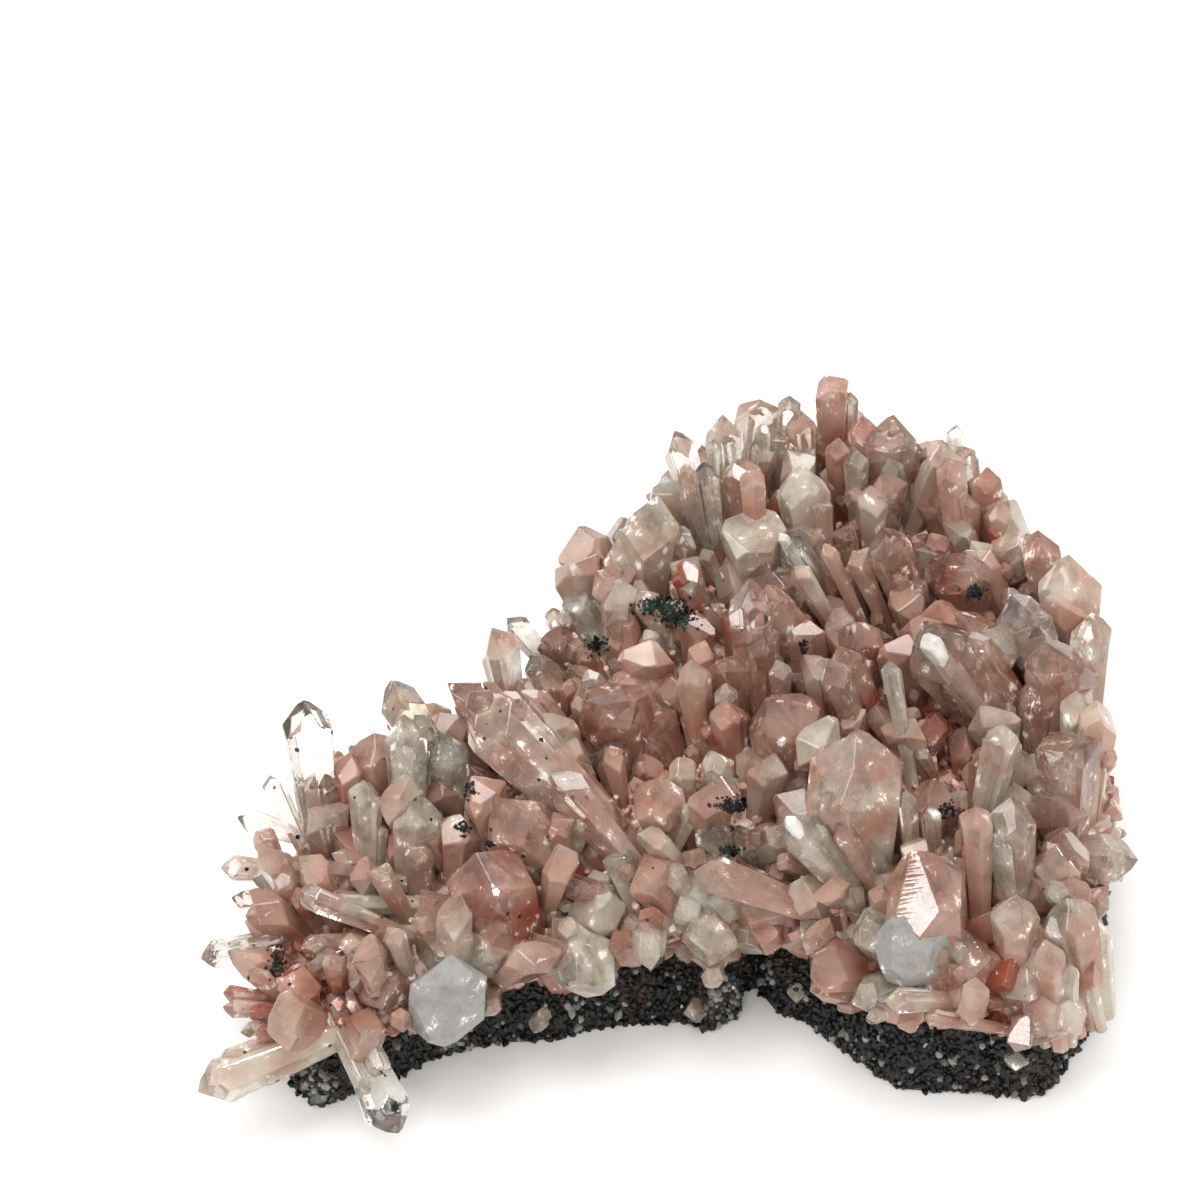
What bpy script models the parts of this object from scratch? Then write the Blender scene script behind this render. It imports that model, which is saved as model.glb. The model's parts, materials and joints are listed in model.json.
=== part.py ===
"""A cluster of pink lithium quartz on a plate of dark drusy rock, at its real size.

The rock is a kidney-shaped plate with a flat underside. A crust of massive quartz covers it, and about
a hundred and fifty crystals grow from the crust and through each other, so they are one solid with it.
The crystals are placed by their feet and tips in the picture plane of one view of the specimen, and
their widths and their reach towards the viewer are in millimetres.
"""

import math
import random

import bmesh
import bpy
from mathutils import Matrix, Vector, noise

MM = 0.001

# The view that the crystals were placed in: 0.17 mm for a pixel of its 1200 at the point aimed at.
PICTURE_CENTRE = 600.0
PIXEL = 0.17 * MM
VIEW_DISTANCE = 0.60
VIEW_ELEVATION = math.radians(48.0)
AIM_POINT = Vector((-11.15, 35.4, 18.0)) * MM
SEARCH_REACH = 80.0 * MM
SEARCH_STEP = 1.6 * MM

# The rock plate, with the sloping face that is bare along the front.
PLATE_HEIGHT = 12.0 * MM
FRONT_SLOPE_RUN = 5.5 * MM
BACK_SLOPE_RUN = 2.5 * MM
SLOPE_CURVE = 1.4
LUMP_SIZE = 5.0 * MM
LUMP_RELIEF = 1.6 * MM
RIM_STEP = 5.0 * MM

# The crust of massive quartz on the plate.
MOUND_HEIGHT = 26.5 * MM
FRONT_EDGE = 1.5 * MM
BACK_WALL = 10.0 * MM
CRUST_RIM_STEP = 12.0 * MM
CRUST_RELIEF = 2.2 * MM
CRUST_BACK_INSET = 2.5 * MM
CRUST_SUNK = 4.0 * MM
CRUST_LUMP = 9.0 * MM
WALL_RELIEF = 3.2 * MM
WALL_LUMP = 11.0 * MM
WALL_BULGE = 1.5 * MM
WALL_RISE = 14.0 * MM
MOUND_CENTRE = Vector((15.0, -10.0)) * MM

# The crystals.
SIDES = 6
TIP_FACE_LEAN = math.radians(51.8)
ROOT_DEPTH = 6.0 * MM
LONE_ROOT_DEPTH = 1.5 * MM
TOUCHING_GAP = 0.3 * MM
SEED = 7
FILLERS = 14
FILLER_INSET = 4.5 * MM
FILLER_FROM = -35.0
FILLER_TO = 195.0
THREE_FACED_UNDER = 7.0 * MM

# The rim of the plate where it rests. The front is read in the view, from left to right, and the back,
# which the crystals hide, is laid out in millimetres from right to left.
FRONT_RIM_IN_VIEW = (
    (288, 1066), (294, 1086), (303, 1101), (322, 1106), (346, 1096), (372, 1086),
    (400, 1075), (425, 1061), (460, 1050), (500, 1042), (545, 1040), (570, 1035), (600, 1028),
    (635, 1022), (668, 1021), (684, 1023), (700, 1032), (724, 1029), (737, 1018), (736, 1001),
    (737, 988), (744, 983), (755, 986), (766, 1001), (776, 1010), (790, 1011), (815, 1028),
    (840, 1048), (862, 1060), (880, 1080), (905, 1090), (940, 1092), (975, 1091), (998, 1093),
    (1020, 1100), (1050, 1091), (1063, 1076), (1072, 1050),
)
BACK_RIM = (
    (67, -42), (70, -30), (71, -17), (72, -2), (71, 11), (70, 24), (67, 37), (61, 48), (54, 57),
    (44, 64), (32, 67), (20, 66), (9, 62), (0, 55), (-7, 46), (-13, 37), (-19, 27), (-27, 17), (-36, 9),
    (-46, 2), (-55, -6), (-62, -15), (-65, -26), (-66, -38), (-64, -47),
)

# Each row is a crystal: its name, its foot and its tip in the view, then in millimetres its width and
# how far its tip is nearer the viewer than its foot.
LEFT_ARM = (
    ("tall clear point", (323, 862), (303, 699), 8.5, 12.0),
    ("needle behind the point", (310, 862), (269, 775), 3.7, 4.0),
    ("upper side spike", (300, 837), (237, 816), 4.4, 4.0),
    ("middle side spike", (285, 872), (220, 867), 4.6, 3.0),
    ("beige side block", (305, 874), (250, 878), 6.5, 5.0),
    ("lower side spike", (278, 905), (231, 897), 3.4, 3.0),
    ("long pink spike", (330, 912), (245, 918), 7.6, 6.0),
    ("clear spike under it", (290, 935), (200, 958), 5.0, 3.0),
    ("long flat prism", (409, 937), (299, 892), 4.6, 8.0),
    ("striped crystal", (285, 1000), (249, 968), 3.4, 3.0),
    ("jagged plate one", (277, 1000), (223, 992), 2.9, 2.0),
    ("jagged plate two", (275, 1010), (222, 1007), 3.4, 2.5),
    ("jagged plate three", (282, 1018), (240, 1033), 3.0, 3.0),
    ("speckled corner crystal", (322, 1040), (197, 1091), 7.4, 3.0),
    ("bright striated point", (298, 985), (343, 951), 4.6, 8.0),
    ("brown smooth end", (307, 985), (294, 1003), 7.8, 9.0),
    ("clear front crystal", (350, 1028), (398, 1134), 7.8, 8.0),
    ("pink mass left", (372, 960), (352, 990), 9.0, 8.0),
    ("pink mass right", (392, 975), (380, 1012), 9.0, 9.0),
    ("grey hexagon end", (452, 985), (445, 1010), 14.6, 12.0),
    ("whitish end above it", (458, 945), (440, 958), 14.0, 9.0),
    ("grey glinting end", (585, 952), (580, 979), 12.6, 11.0),
    ("small end beside it", (548, 950), (540, 968), 7.0, 9.0),
    ("pink knob", (530, 942), (522, 962), 6.0, 7.0),
    ("large pale pink crystal", (512, 935), (475, 850), 13.6, 8.0),
    ("white faced pink crystal", (560, 872), (490, 798), 12.0, 8.0),
    ("big blade", (628, 852), (468, 692), 13.0, 2.0),
    ("crystal behind the blade", (560, 760), (447, 683), 9.0, 4.0),
    ("thin plate by the blade", (585, 765), (520, 690), 5.0, 4.0),
    ("golden point", (455, 808), (389, 681), 8.8, 8.0),
    ("point by the golden one", (412, 865), (404, 713), 7.6, 9.0),
    ("sparkling shoulder", (475, 830), (437, 735), 8.0, 9.0),
    ("round ended crystal", (412, 885), (420, 795), 8.5, 9.0),
    ("brown column", (368, 885), (365, 780), 5.6, 10.0),
    ("rough red crystal", (388, 838), (370, 733), 8.0, 9.0),
    ("lying prism one", (440, 890), (302, 868), 4.4, 4.0),
    ("lying prism two", (430, 905), (320, 903), 4.4, 6.0),
    ("low prism under the pink spike", (385, 940), (300, 948), 5.0, 6.0),
)
UPPER_LEFT = (
    ("clear point", (716, 572), (674, 430), 6.6, 9.0),
    ("thin point", (693, 548), (663, 476), 3.2, 6.0),
    ("side point", (722, 592), (704, 461), 4.8, 9.0),
    ("clear end at the top", (735, 545), (722, 415), 7.0, 8.0),
    ("broad slanted crystal", (648, 612), (657, 497), 11.5, 9.0),
    ("broad slanted shoulder", (640, 612), (618, 541), 7.5, 8.0),
    ("round clear crystal", (628, 590), (564, 555), 7.0, 6.0),
    ("small clear crystal", (608, 650), (568, 588), 5.4, 5.0),
    ("brown pink crystal", (648, 642), (597, 570), 6.8, 7.0),
    ("grey crystal", (642, 672), (612, 604), 4.8, 7.0),
    ("outer clear crystal", (560, 678), (508, 616), 4.4, 4.0),
    ("outer small crystal", (566, 668), (552, 607), 3.4, 5.0),
    ("outer low crystal", (580, 690), (528, 655), 4.0, 4.0),
    ("pink column", (736, 565), (735, 461), 5.2, 9.0),
    ("column beside it", (758, 605), (752, 468), 5.2, 10.0),
    ("column in the recess", (700, 640), (683, 560), 5.5, 9.0),
    ("point by the green patch", (678, 660), (640, 590), 5.0, 8.0),
)
TOP = (
    ("grey tip at the edge", (783, 505), (790, 395), 4.8, 7.0),
    ("small tip left of it", (765, 512), (762, 423), 2.9, 7.0),
    ("pink crystal at the edge", (808, 505), (800, 408), 6.0, 8.0),
    ("round knob", (840, 520), (838, 437), 5.0, 8.0),
    ("pink shoulder", (868, 515), (862, 415), 6.0, 7.0),
    ("topmost crystal", (833, 482), (830, 376), 4.6, 7.0),
    ("topmost side tip", (848, 482), (850, 391), 3.6, 6.0),
    ("smooth massive crystal", (886, 522), (893, 414), 9.6, 9.0),
    ("pale leaning crystal", (938, 505), (862, 492), 7.4, 9.0),
    ("pale broad crystal", (812, 575), (800, 464), 9.4, 10.0),
    ("white banded prism", (852, 622), (780, 535), 6.2, 8.0),
    ("parallel prism one", (872, 645), (824, 543), 3.4, 8.0),
    ("parallel prism three", (893, 640), (852, 550), 4.2, 9.0),
    ("parallel prism four", (836, 660), (776, 600), 4.4, 9.0),
    ("large ridge crystal", (926, 645), (880, 527), 7.8, 10.0),
    ("clear end", (914, 484), (922, 450), 7.4, 12.0),
    ("edge tip", (950, 505), (957, 424), 3.6, 6.0),
    ("striped pink crystal", (960, 568), (950, 458), 6.4, 10.0),
    ("thin edge tip", (982, 535), (970, 452), 3.0, 6.0),
    ("brown edge crystal", (986, 562), (985, 466), 6.0, 8.0),
    ("red edge crystal", (1000, 575), (999, 500), 5.5, 8.0),
    ("pale hexagon end", (1006, 578), (1017, 545), 9.6, 13.0),
    ("crystal under the pale end", (992, 605), (965, 550), 4.8, 8.0),
    ("smooth grey pink face", (1076, 668), (1068, 556), 11.2, 9.0),
    ("face behind it", (1052, 630), (1038, 530), 7.5, 8.0),
    ("filler right of the recess", (870, 560), (872, 486), 6.0, 8.0),
)
MIDDLE = (
    ("large upright crystal", (757, 728), (750, 578), 8.4, 9.0),
    ("its neighbour", (797, 688), (770, 583), 6.4, 9.0),
    ("round end", (650, 672), (648, 641), 5.4, 8.0),
    ("green centred block", (650, 700), (638, 724), 16.0, 14.0),
    ("pink block beside it", (600, 735), (585, 700), 9.0, 8.0),
    ("round tip", (690, 822), (680, 757), 5.4, 8.0),
    ("brown mass", (668, 842), (655, 778), 8.8, 10.0),
    ("whitish hanging crystal", (768, 728), (757, 795), 7.8, 15.0),
    ("striped crystal beside it", (728, 818), (712, 750), 5.0, 8.0),
    ("upright crystal left", (706, 758), (690, 660), 6.2, 9.0),
    ("lying block", (848, 690), (778, 676), 10.5, 8.0),
    ("grey green crystal", (867, 758), (828, 658), 7.0, 10.0),
    ("its twin", (888, 745), (838, 645), 6.2, 9.0),
    ("great domed crystal", (862, 872), (850, 735), 16.5, 12.0),
    ("bright banded crystal", (1012, 745), (920, 625), 12.0, 11.0),
    ("upper grey crystal", (1010, 690), (955, 612), 9.0, 8.0),
    ("clear leaning crystal", (1062, 705), (1010, 596), 10.2, 11.0),
    ("hanging crystal", (1030, 705), (1030, 777), 5.0, 13.0),
    ("prism below it", (975, 842), (1005, 725), 5.6, 9.0),
    ("right wall crystal", (1070, 778), (1076, 692), 6.2, 9.0),
    ("right low crystal", (1066, 818), (1050, 745), 7.0, 9.0),
    ("right wall block", (1088, 735), (1092, 612), 7.5, 8.0),
    ("right wall slab", (1085, 815), (1100, 700), 7.0, 6.0),
    ("filler in the middle", (735, 770), (725, 700), 6.0, 8.0),
    ("broad crystal under the ridge", (880, 700), (850, 620), 9.0, 9.0),
    ("crystal under the clear end", (960, 680), (935, 600), 7.0, 9.0),
)
FRONT = (
    ("sparkling clear end", (716, 852), (712, 827), 7.0, 10.0),
    ("clear end beside it", (762, 862), (735, 830), 5.2, 8.0),
    ("long lying prism", (832, 918), (693, 868), 7.0, 6.0),
    ("smooth beige mass", (672, 892), (645, 900), 14.0, 8.0),
    ("beige mass right", (770, 905), (750, 925), 12.0, 9.0),
    ("beige mass middle", (712, 890), (705, 905), 11.0, 9.0),
    ("block over the notch", (750, 922), (746, 948), 10.0, 8.0),
    ("left hanging point", (628, 922), (665, 955), 6.6, 8.0),
    ("left hanging block", (600, 905), (590, 925), 9.5, 9.0),
    ("hanging clear crystal", (705, 905), (713, 964), 8.6, 10.0),
    ("pale banded prism", (867, 908), (790, 815), 7.8, 9.0),
    ("prism beside it", (888, 898), (822, 790), 7.0, 10.0),
    ("grey round end", (816, 925), (815, 946), 6.4, 8.0),
    ("large pale crystal", (945, 978), (915, 853), 14.6, 12.0),
    ("milky white end", (915, 930), (912, 957), 11.0, 12.0),
    ("ring shaped end", (955, 935), (953, 958), 5.6, 12.0),
    ("white triangle end", (882, 950), (866, 918), 7.4, 10.0),
    ("clear corner crystal", (912, 975), (850, 1001), 5.6, 6.0),
    ("lower corner crystal", (908, 1006), (865, 1018), 3.6, 5.0),
    ("crossing prism", (1000, 1000), (884, 1000), 4.4, 9.0),
    ("pink red mass", (1000, 962), (1000, 985), 10.5, 9.0),
    ("tall banded crystal", (1020, 915), (1010, 795), 9.0, 10.0),
    ("pink prism behind", (980, 932), (975, 805), 5.4, 9.0),
    ("short pale crystal", (1015, 985), (1015, 895), 7.8, 10.0),
    ("right pointing crystal", (1064, 858), (1139, 858), 8.6, 3.0),
    ("pale right crystal", (1086, 992), (1065, 895), 9.6, 8.0),
    ("brown edge face", (1068, 938), (1108, 886), 5.0, 3.0),
    ("low right crystal", (1056, 1018), (1045, 940), 6.2, 8.0),
    ("right facing end", (1022, 972), (1022, 998), 7.4, 9.0),
    ("smooth corner one", (1042, 1008), (1034, 1036), 11.0, 7.0),
    ("smooth corner two", (1060, 1000), (1054, 1036), 9.0, 6.0),
    ("filler at the right", (1050, 900), (1055, 845), 8.0, 8.0),
    ("filler above the corner", (960, 985), (955, 1000), 8.0, 8.0),
)
CLUSTER = LEFT_ARM + UPPER_LEFT + TOP + MIDDLE + FRONT

# Lone crystals that stand on the bare rock, clear of the others.
LONE = (
    ("lone_crystal_left", (545, 1008), (534, 1034), 3.4, 2.5),
    ("lone_crystal_middle", (696, 1004), (692, 1022), 3.4, 3.5),
    ("lone_crystal_hexagon", (798, 996), (797, 984), 3.6, 3.6),
    ("lone_crystal_blue", (826, 990), (824, 974), 5.0, 3.6),
    ("lone_crystal_right", (1016, 1062), (1018, 1050), 4.2, 3.0),
)


def clear_scene():
    """Removes every object that the file starts with."""
    for item in list(bpy.data.objects):
        bpy.data.objects.remove(item, do_unlink=True)


def new_collection(name):
    """A collection of that name, linked to the scene."""
    made = bpy.data.collections.new(name)
    bpy.context.scene.collection.children.link(made)
    return made


def new_material(name, colour, roughness, transmission=0.0):
    """A plain finish for one sub-part."""
    material = bpy.data.materials.new(name)
    material.use_nodes = True
    shader = material.node_tree.nodes["Principled BSDF"]
    shader.inputs["Base Color"].default_value = (*colour, 1.0)
    shader.inputs["Roughness"].default_value = roughness
    shader.inputs["Metallic"].default_value = 0.0
    shader.inputs["Transmission Weight"].default_value = transmission
    shader.inputs["IOR"].default_value = 1.544
    return material


def view_axes():
    """Right, up and towards the viewer, as unit vectors of the part's frame."""
    lift, fall = math.sin(VIEW_ELEVATION), math.cos(VIEW_ELEVATION)
    return Vector((1, 0, 0)), Vector((0, lift, fall)), Vector((0, -fall, lift))


def point_in_view(spot, nearness):
    """The point seen at spot whose depth is that much nearer the viewer than the point aimed at."""
    right, up, toward = view_axes()
    depth = (VIEW_DISTANCE - nearness) / VIEW_DISTANCE
    across = (spot[0] - PICTURE_CENTRE) * PIXEL * depth
    along = (PICTURE_CENTRE - spot[1]) * PIXEL * depth
    return AIM_POINT + right * across + up * along + toward * nearness


def nearness_of(point):
    """How much nearer the viewer a point is than the point aimed at."""
    return (point - AIM_POINT).dot(view_axes()[2])


def point_on_surface(spot, height_at):
    """The nearest point seen at spot that lies on the surface whose height is height_at(x, y)."""
    def above(nearness):
        point = point_in_view(spot, nearness)
        return point.z > height_at(point.x, point.y)

    nearness = SEARCH_REACH
    while nearness > -SEARCH_REACH and above(nearness):
        nearness -= SEARCH_STEP
    step = SEARCH_STEP
    for _ in range(12):
        step /= 2
        if not above(nearness + step):
            nearness += step
    return point_in_view(spot, nearness)


def rim_outline():
    """The rim of the plate where it rests, as plan points, anticlockwise."""
    front = [point_on_surface(spot, lambda x, y: 0.0).xy for spot in FRONT_RIM_IN_VIEW]
    return front + [Vector(spot) * MM for spot in BACK_RIM]


def even_points(outline, step):
    """Points about step apart along a closed outline."""
    closed = outline + outline[:1]
    total = sum((b - a).length for a, b in zip(closed, closed[1:]))
    count = round(total / step)
    points, travelled, wanted = [], 0.0, 0.0
    for a, b in zip(closed, closed[1:]):
        run = (b - a).length
        while wanted < travelled + run and len(points) < count:
            points.append(a.lerp(b, (wanted - travelled) / run))
            wanted += total / count
        travelled += run
    return points


def cross(a, b):
    """The height of the cross product of two plan vectors."""
    return a.x * b.y - a.y * b.x


def rim_reach(outline, direction):
    """How far the rim is from the mound's centre in a direction."""
    reach = 0.0
    for a, b in zip(outline, outline[1:] + outline[:1]):
        side = b - a
        turn = cross(direction, side)
        if abs(turn) < 1e-12:
            continue
        away = a - MOUND_CENTRE
        along = cross(away, side) / turn
        share = cross(away, direction) / turn
        if along > 0 and -1e-6 <= share <= 1 + 1e-6:
            reach = max(reach, along)
    return reach


def arm_share(direction):
    """1 towards the left arm, which is low, and 0 away from it."""
    return max(0.0, min(1.0, (-direction.x - 0.35) / 0.5))


def back_share(direction):
    """1 towards the back and the right, where the crust ends in a steep wall, and 0 at the front."""
    return max(0.0, min(1.0, (direction.y + 0.35 + 0.45 * max(0.0, direction.x)) / 0.7))


def mound_height(x, y):
    """The height of the crust's top at a place in the plan."""
    away = Vector((x, y)) - MOUND_CENTRE
    if away.length < 1e-9:
        return MOUND_HEIGHT
    direction = away.normalized()
    share = away.length / max(rim_reach(RIM, direction), 1e-6)
    low = arm_share(direction)
    edge = PLATE_HEIGHT + FRONT_EDGE + BACK_WALL * back_share(direction) * (1 - 0.8 * low)
    steepness = 3.2 - 1.8 * low
    return edge + (MOUND_HEIGHT - edge) * max(0.0, 1.0 - share ** steepness)


def rock_surface(x, y):
    """The height of the rock's sloping front face at a place in the plan, without its lumps."""
    spot = Vector((x, y))
    inside = 1.0
    for a, b in zip(RIM, RIM[1:] + RIM[:1]):
        side = b - a
        share = max(0.0, min(1.0, (spot - a).dot(side) / side.length_squared))
        inside = min(inside, (spot - a - side * share).length)
    return PLATE_HEIGHT * min(1.0, inside / FRONT_SLOPE_RUN) ** (1 / SLOPE_CURVE)


def mesh_object(name, mesh, collection, material=None):
    """An object for a finished mesh."""
    made = bpy.data.objects.new(name, mesh)
    collection.objects.link(made)
    if material:
        made.data.materials.append(material)
    return made


def finish_bmesh(shape, name):
    """The mesh of a bmesh whose faces have been turned outwards."""
    bmesh.ops.recalc_face_normals(shape, faces=shape.faces)
    mesh = bpy.data.meshes.new(name)
    shape.to_mesh(mesh)
    shape.free()
    return mesh


def stacked_rings(shape, rings):
    """Walls between closed rings of points, which all have the same count, with fans as caps."""
    rows = [[shape.verts.new(point) for point in ring] for ring in rings]
    count = len(rows[0])
    for lower, upper in zip(rows, rows[1:]):
        for i in range(count):
            j = (i + 1) % count
            shape.faces.new((lower[i], lower[j], upper[j], upper[i]))
    for row in (rows[0], rows[-1]):
        middle = sum((vert.co for vert in row), Vector()) / count
        middle.xy = MOUND_CENTRE
        hub = shape.verts.new(middle)
        for i in range(count):
            shape.faces.new((row[i], row[(i + 1) % count], hub))


def rock_mesh(grow=0.0):
    """The rock plate: a flat underside, a lumpy sloping face all round and a flat top under the crust.

    With grow it is larger by that much all round, which leaves a gap when it cuts its neighbours.
    """
    rings = []
    base = even_points(RIM, RIM_STEP)
    for level in (0.0, 0.3, 0.62, 0.88, 1.0):
        ring = []
        for before, spot, after in zip(base[-1:] + base[:-1], base, base[1:] + base[:1]):
            direction = (spot - MOUND_CENTRE).normalized()
            back = back_share(direction)
            run = FRONT_SLOPE_RUN + (BACK_SLOPE_RUN - FRONT_SLOPE_RUN) * back
            place = Vector((spot.x, spot.y, level * PLATE_HEIGHT)) / LUMP_SIZE
            lump = noise.noise(place) * LUMP_RELIEF * (1.0 if 0 < level < 1 else 0.3)
            out = lump - run * level ** SLOPE_CURVE
            along = (after - before).normalized()
            plan = spot + direction * out + Vector((along.y, -along.x)) * grow
            ring.append(Vector((plan.x, plan.y, level * (PLATE_HEIGHT + grow))))
        rings.append(ring)
    shape = bmesh.new()
    stacked_rings(shape, rings)
    return finish_bmesh(shape, "rock")


def crust_mesh():
    """The massive quartz: a mound that starts inside the plate and ends in a steep wall at the back."""
    shape = bmesh.new()
    base = []
    for spot in even_points(RIM, CRUST_RIM_STEP):
        away = spot - MOUND_CENTRE
        inset = FRONT_SLOPE_RUN + (CRUST_BACK_INSET - FRONT_SLOPE_RUN) * back_share(away.normalized())
        base.append(MOUND_CENTRE + away * (1 - inset / away.length))
    rings = []
    for share in (0.5, 1.0):
        ring = [(MOUND_CENTRE.lerp(spot, share)).to_3d() for spot in base]
        for point in ring:
            point.z = PLATE_HEIGHT - CRUST_SUNK
        rings.append(ring)
    for level in (0.25, 0.62, 1.0):
        ring = []
        for spot in base:
            direction = (spot - MOUND_CENTRE).normalized()
            back = back_share(direction)
            top = mound_height(spot.x, spot.y)
            place = Vector((spot.x, spot.y, level * WALL_RISE)) / WALL_LUMP
            out = back * (noise.noise(place) * WALL_RELIEF + WALL_BULGE * math.sin(math.pi * level))
            plan = spot + direction * out
            ring.append(Vector((plan.x, plan.y, PLATE_HEIGHT + (top - PLATE_HEIGHT) * level)))
        rings.append(ring)
    for share in (0.93, 0.72, 0.42):
        ring = []
        for spot in base:
            plan = MOUND_CENTRE.lerp(spot, share)
            place = Vector((plan.x, plan.y, share * CRUST_LUMP)) / CRUST_LUMP
            bump = noise.noise(place) * CRUST_RELIEF
            ring.append(Vector((plan.x, plan.y, mound_height(plan.x, plan.y) + bump)))
        rings.append(ring)
    stacked_rings(shape, rings)
    return finish_bmesh(shape, "crust")


def crystal_mesh(name, foot, tip, width, root=ROOT_DEPTH):
    """A six-sided quartz prism from foot to tip, closed by unequal rhombohedral faces.

    Its tip faces lean by quartz's own angle. Three of them are larger than the other three, and one is
    often the largest by far, which skews the tip.
    """
    draw = random.Random(f"{SEED} {name}")
    axis = tip - foot
    length = axis.length
    radius = width / 1.87
    shape = bmesh.new()
    bmesh.ops.create_cone(
        shape, cap_ends=True, segments=SIDES, radius1=radius * 1.04, radius2=radius * 0.93,
        depth=length + 2 * radius,
        matrix=Matrix.Translation((0, 0, length / 2)) @ Matrix.Rotation(math.pi / 6, 4, "Z"),
    )
    ground = length / 2 - (length + 2 * radius) / 2
    first = draw.randrange(2)
    skewed = draw.randrange(SIDES)
    for side in range(SIDES):
        turn = side * math.tau / SIDES
        normal = Vector((
            math.cos(turn) * math.sin(TIP_FACE_LEAN),
            math.sin(turn) * math.sin(TIP_FACE_LEAN),
            math.cos(TIP_FACE_LEAN),
        ))
        large = side % 2 == first
        if width < THREE_FACED_UNDER and not large:
            continue
        lift = draw.uniform(0.0, 0.25) if large else draw.uniform(0.3, 0.8)
        if side == skewed:
            lift -= draw.uniform(0.1, 0.6)
        cut = bmesh.ops.bisect_plane(
            shape, geom=shape.verts[:] + shape.edges[:] + shape.faces[:],
            plane_co=(0, 0, length + lift * radius * 0.6), plane_no=normal, clear_outer=True,
        )
        rim = [item for item in cut["geom_cut"] if isinstance(item, bmesh.types.BMEdge)]
        if rim:
            bmesh.ops.contextual_create(shape, geom=rim)
    top = max(vert.co.z for vert in shape.verts)
    flat = draw.uniform(0.78, 1.0)
    for vert in shape.verts:
        if vert.co.z > ground + radius * 0.5:
            vert.co.z += length - top
        vert.co.x *= flat
        if vert.co.z < ground + radius * 0.5:
            vert.co.z = -root
    roll = Matrix.Rotation(draw.uniform(0, math.tau), 4, "Z")
    stand = axis.to_track_quat("Z", "Y").to_matrix().to_4x4()
    shape.transform(Matrix.Translation(foot) @ stand @ roll)
    return finish_bmesh(shape, name)


def placed_ends(foot_spot, tip_spot, toward, height_at):
    """The foot on a surface and the tip, from their places in the view."""
    foot = point_on_surface(foot_spot, height_at)
    tip = point_in_view(tip_spot, nearness_of(foot) + toward)
    return foot, tip


def scattered_crystals():
    """Crystals that lean out of the crust's wall and over its edge, at the back and the right."""
    draw = random.Random(SEED)
    rows = []
    for number in range(FILLERS):
        turn = math.radians(FILLER_FROM + (FILLER_TO - FILLER_FROM) * (number + draw.random()) / FILLERS)
        direction = Vector((math.cos(turn), math.sin(turn)))
        plan = MOUND_CENTRE + direction * (rim_reach(RIM, direction) - FILLER_INSET)
        top = mound_height(plan.x, plan.y)
        level = draw.uniform(0.3, 0.8)
        foot = Vector((plan.x, plan.y, PLATE_HEIGHT + (top - PLATE_HEIGHT) * level))
        lean = direction * draw.uniform(0.9, 1.6)
        axis = Vector((lean.x + draw.uniform(-0.5, 0.5), lean.y + draw.uniform(-0.5, 0.5), 1.1 * level))
        width = draw.uniform(4.0, 8.5) * MM
        length = 1 * MM + width * draw.uniform(0.5, 0.8)
        rows.append((f"wall crystal {number}", foot, foot + axis.normalized() * length, width))
    return rows


def keep_largest_piece(target):
    """Removes loose shards, which a cut can leave where a crystal only grazes the rock."""
    shape = bmesh.new()
    shape.from_mesh(target.data)
    unseen = set(shape.verts)
    groups = []
    while unseen:
        stack = [unseen.pop()]
        group = []
        while stack:
            vert = stack.pop()
            group.append(vert)
            for edge in vert.link_edges:
                other = edge.other_vert(vert)
                if other in unseen:
                    unseen.remove(other)
                    stack.append(other)
        groups.append(group)
    groups.sort(key=len)
    for group in groups[:-1]:
        bmesh.ops.delete(shape, geom=group, context="VERTS")
    shape.to_mesh(target.data)
    shape.free()


def boolean(target, operation, **operand):
    """Adds an exact Boolean and applies it."""
    modifier = target.modifiers.new(operation.lower(), "BOOLEAN")
    modifier.operation = operation
    modifier.solver = "EXACT"
    for key, value in operand.items():
        setattr(modifier, key, value)
    graph = bpy.context.evaluated_depsgraph_get()
    mesh = bpy.data.meshes.new_from_object(target.evaluated_get(graph))
    target.modifiers.clear()
    target.data = mesh


def hide_helper(item):
    """Leaves a cutter or a guide out of the render."""
    item.hide_render = True
    item.display_type = "WIRE"


clear_scene()
part = new_collection("lithium_quartz")
growth = new_collection("growth")
cutters = new_collection("cutters")
rock_finish = new_material("dark druse", (0.012, 0.014, 0.013), 0.35)
clear_finish = new_material("clear quartz", (0.62, 0.62, 0.6), 0.08, 0.6)
quartz_finish = new_material("pink quartz", (0.42, 0.27, 0.24), 0.12, 0.35)

RIM = rim_outline()
matrix_plate = mesh_object("matrix", rock_mesh(), part, rock_finish)
cluster = mesh_object("quartz_cluster", crust_mesh(), part, quartz_finish)

for name, foot_spot, tip_spot, width, toward in CLUSTER:
    foot, tip = placed_ends(foot_spot, tip_spot, toward * MM, mound_height)
    hide_helper(mesh_object(name, crystal_mesh(name, foot, tip, width * MM), growth))
for name, foot, tip, width in scattered_crystals():
    hide_helper(mesh_object(name, crystal_mesh(name, foot, tip, width), growth))

boolean(cluster, "UNION", operand_type="COLLECTION", collection=growth)
rock_cutter = mesh_object("rock cutter", rock_mesh(TOUCHING_GAP), cutters)
hide_helper(rock_cutter)
boolean(cluster, "DIFFERENCE", object=rock_cutter)
keep_largest_piece(cluster)

for name, foot_spot, tip_spot, width, toward in LONE:
    foot, tip = placed_ends(foot_spot, tip_spot, toward * MM, rock_surface)
    lone = mesh_object(name, crystal_mesh(name, foot, tip, width * MM, LONE_ROOT_DEPTH), part, clear_finish)
    boolean(lone, "DIFFERENCE", object=rock_cutter)
    keep_largest_piece(lone)
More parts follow.
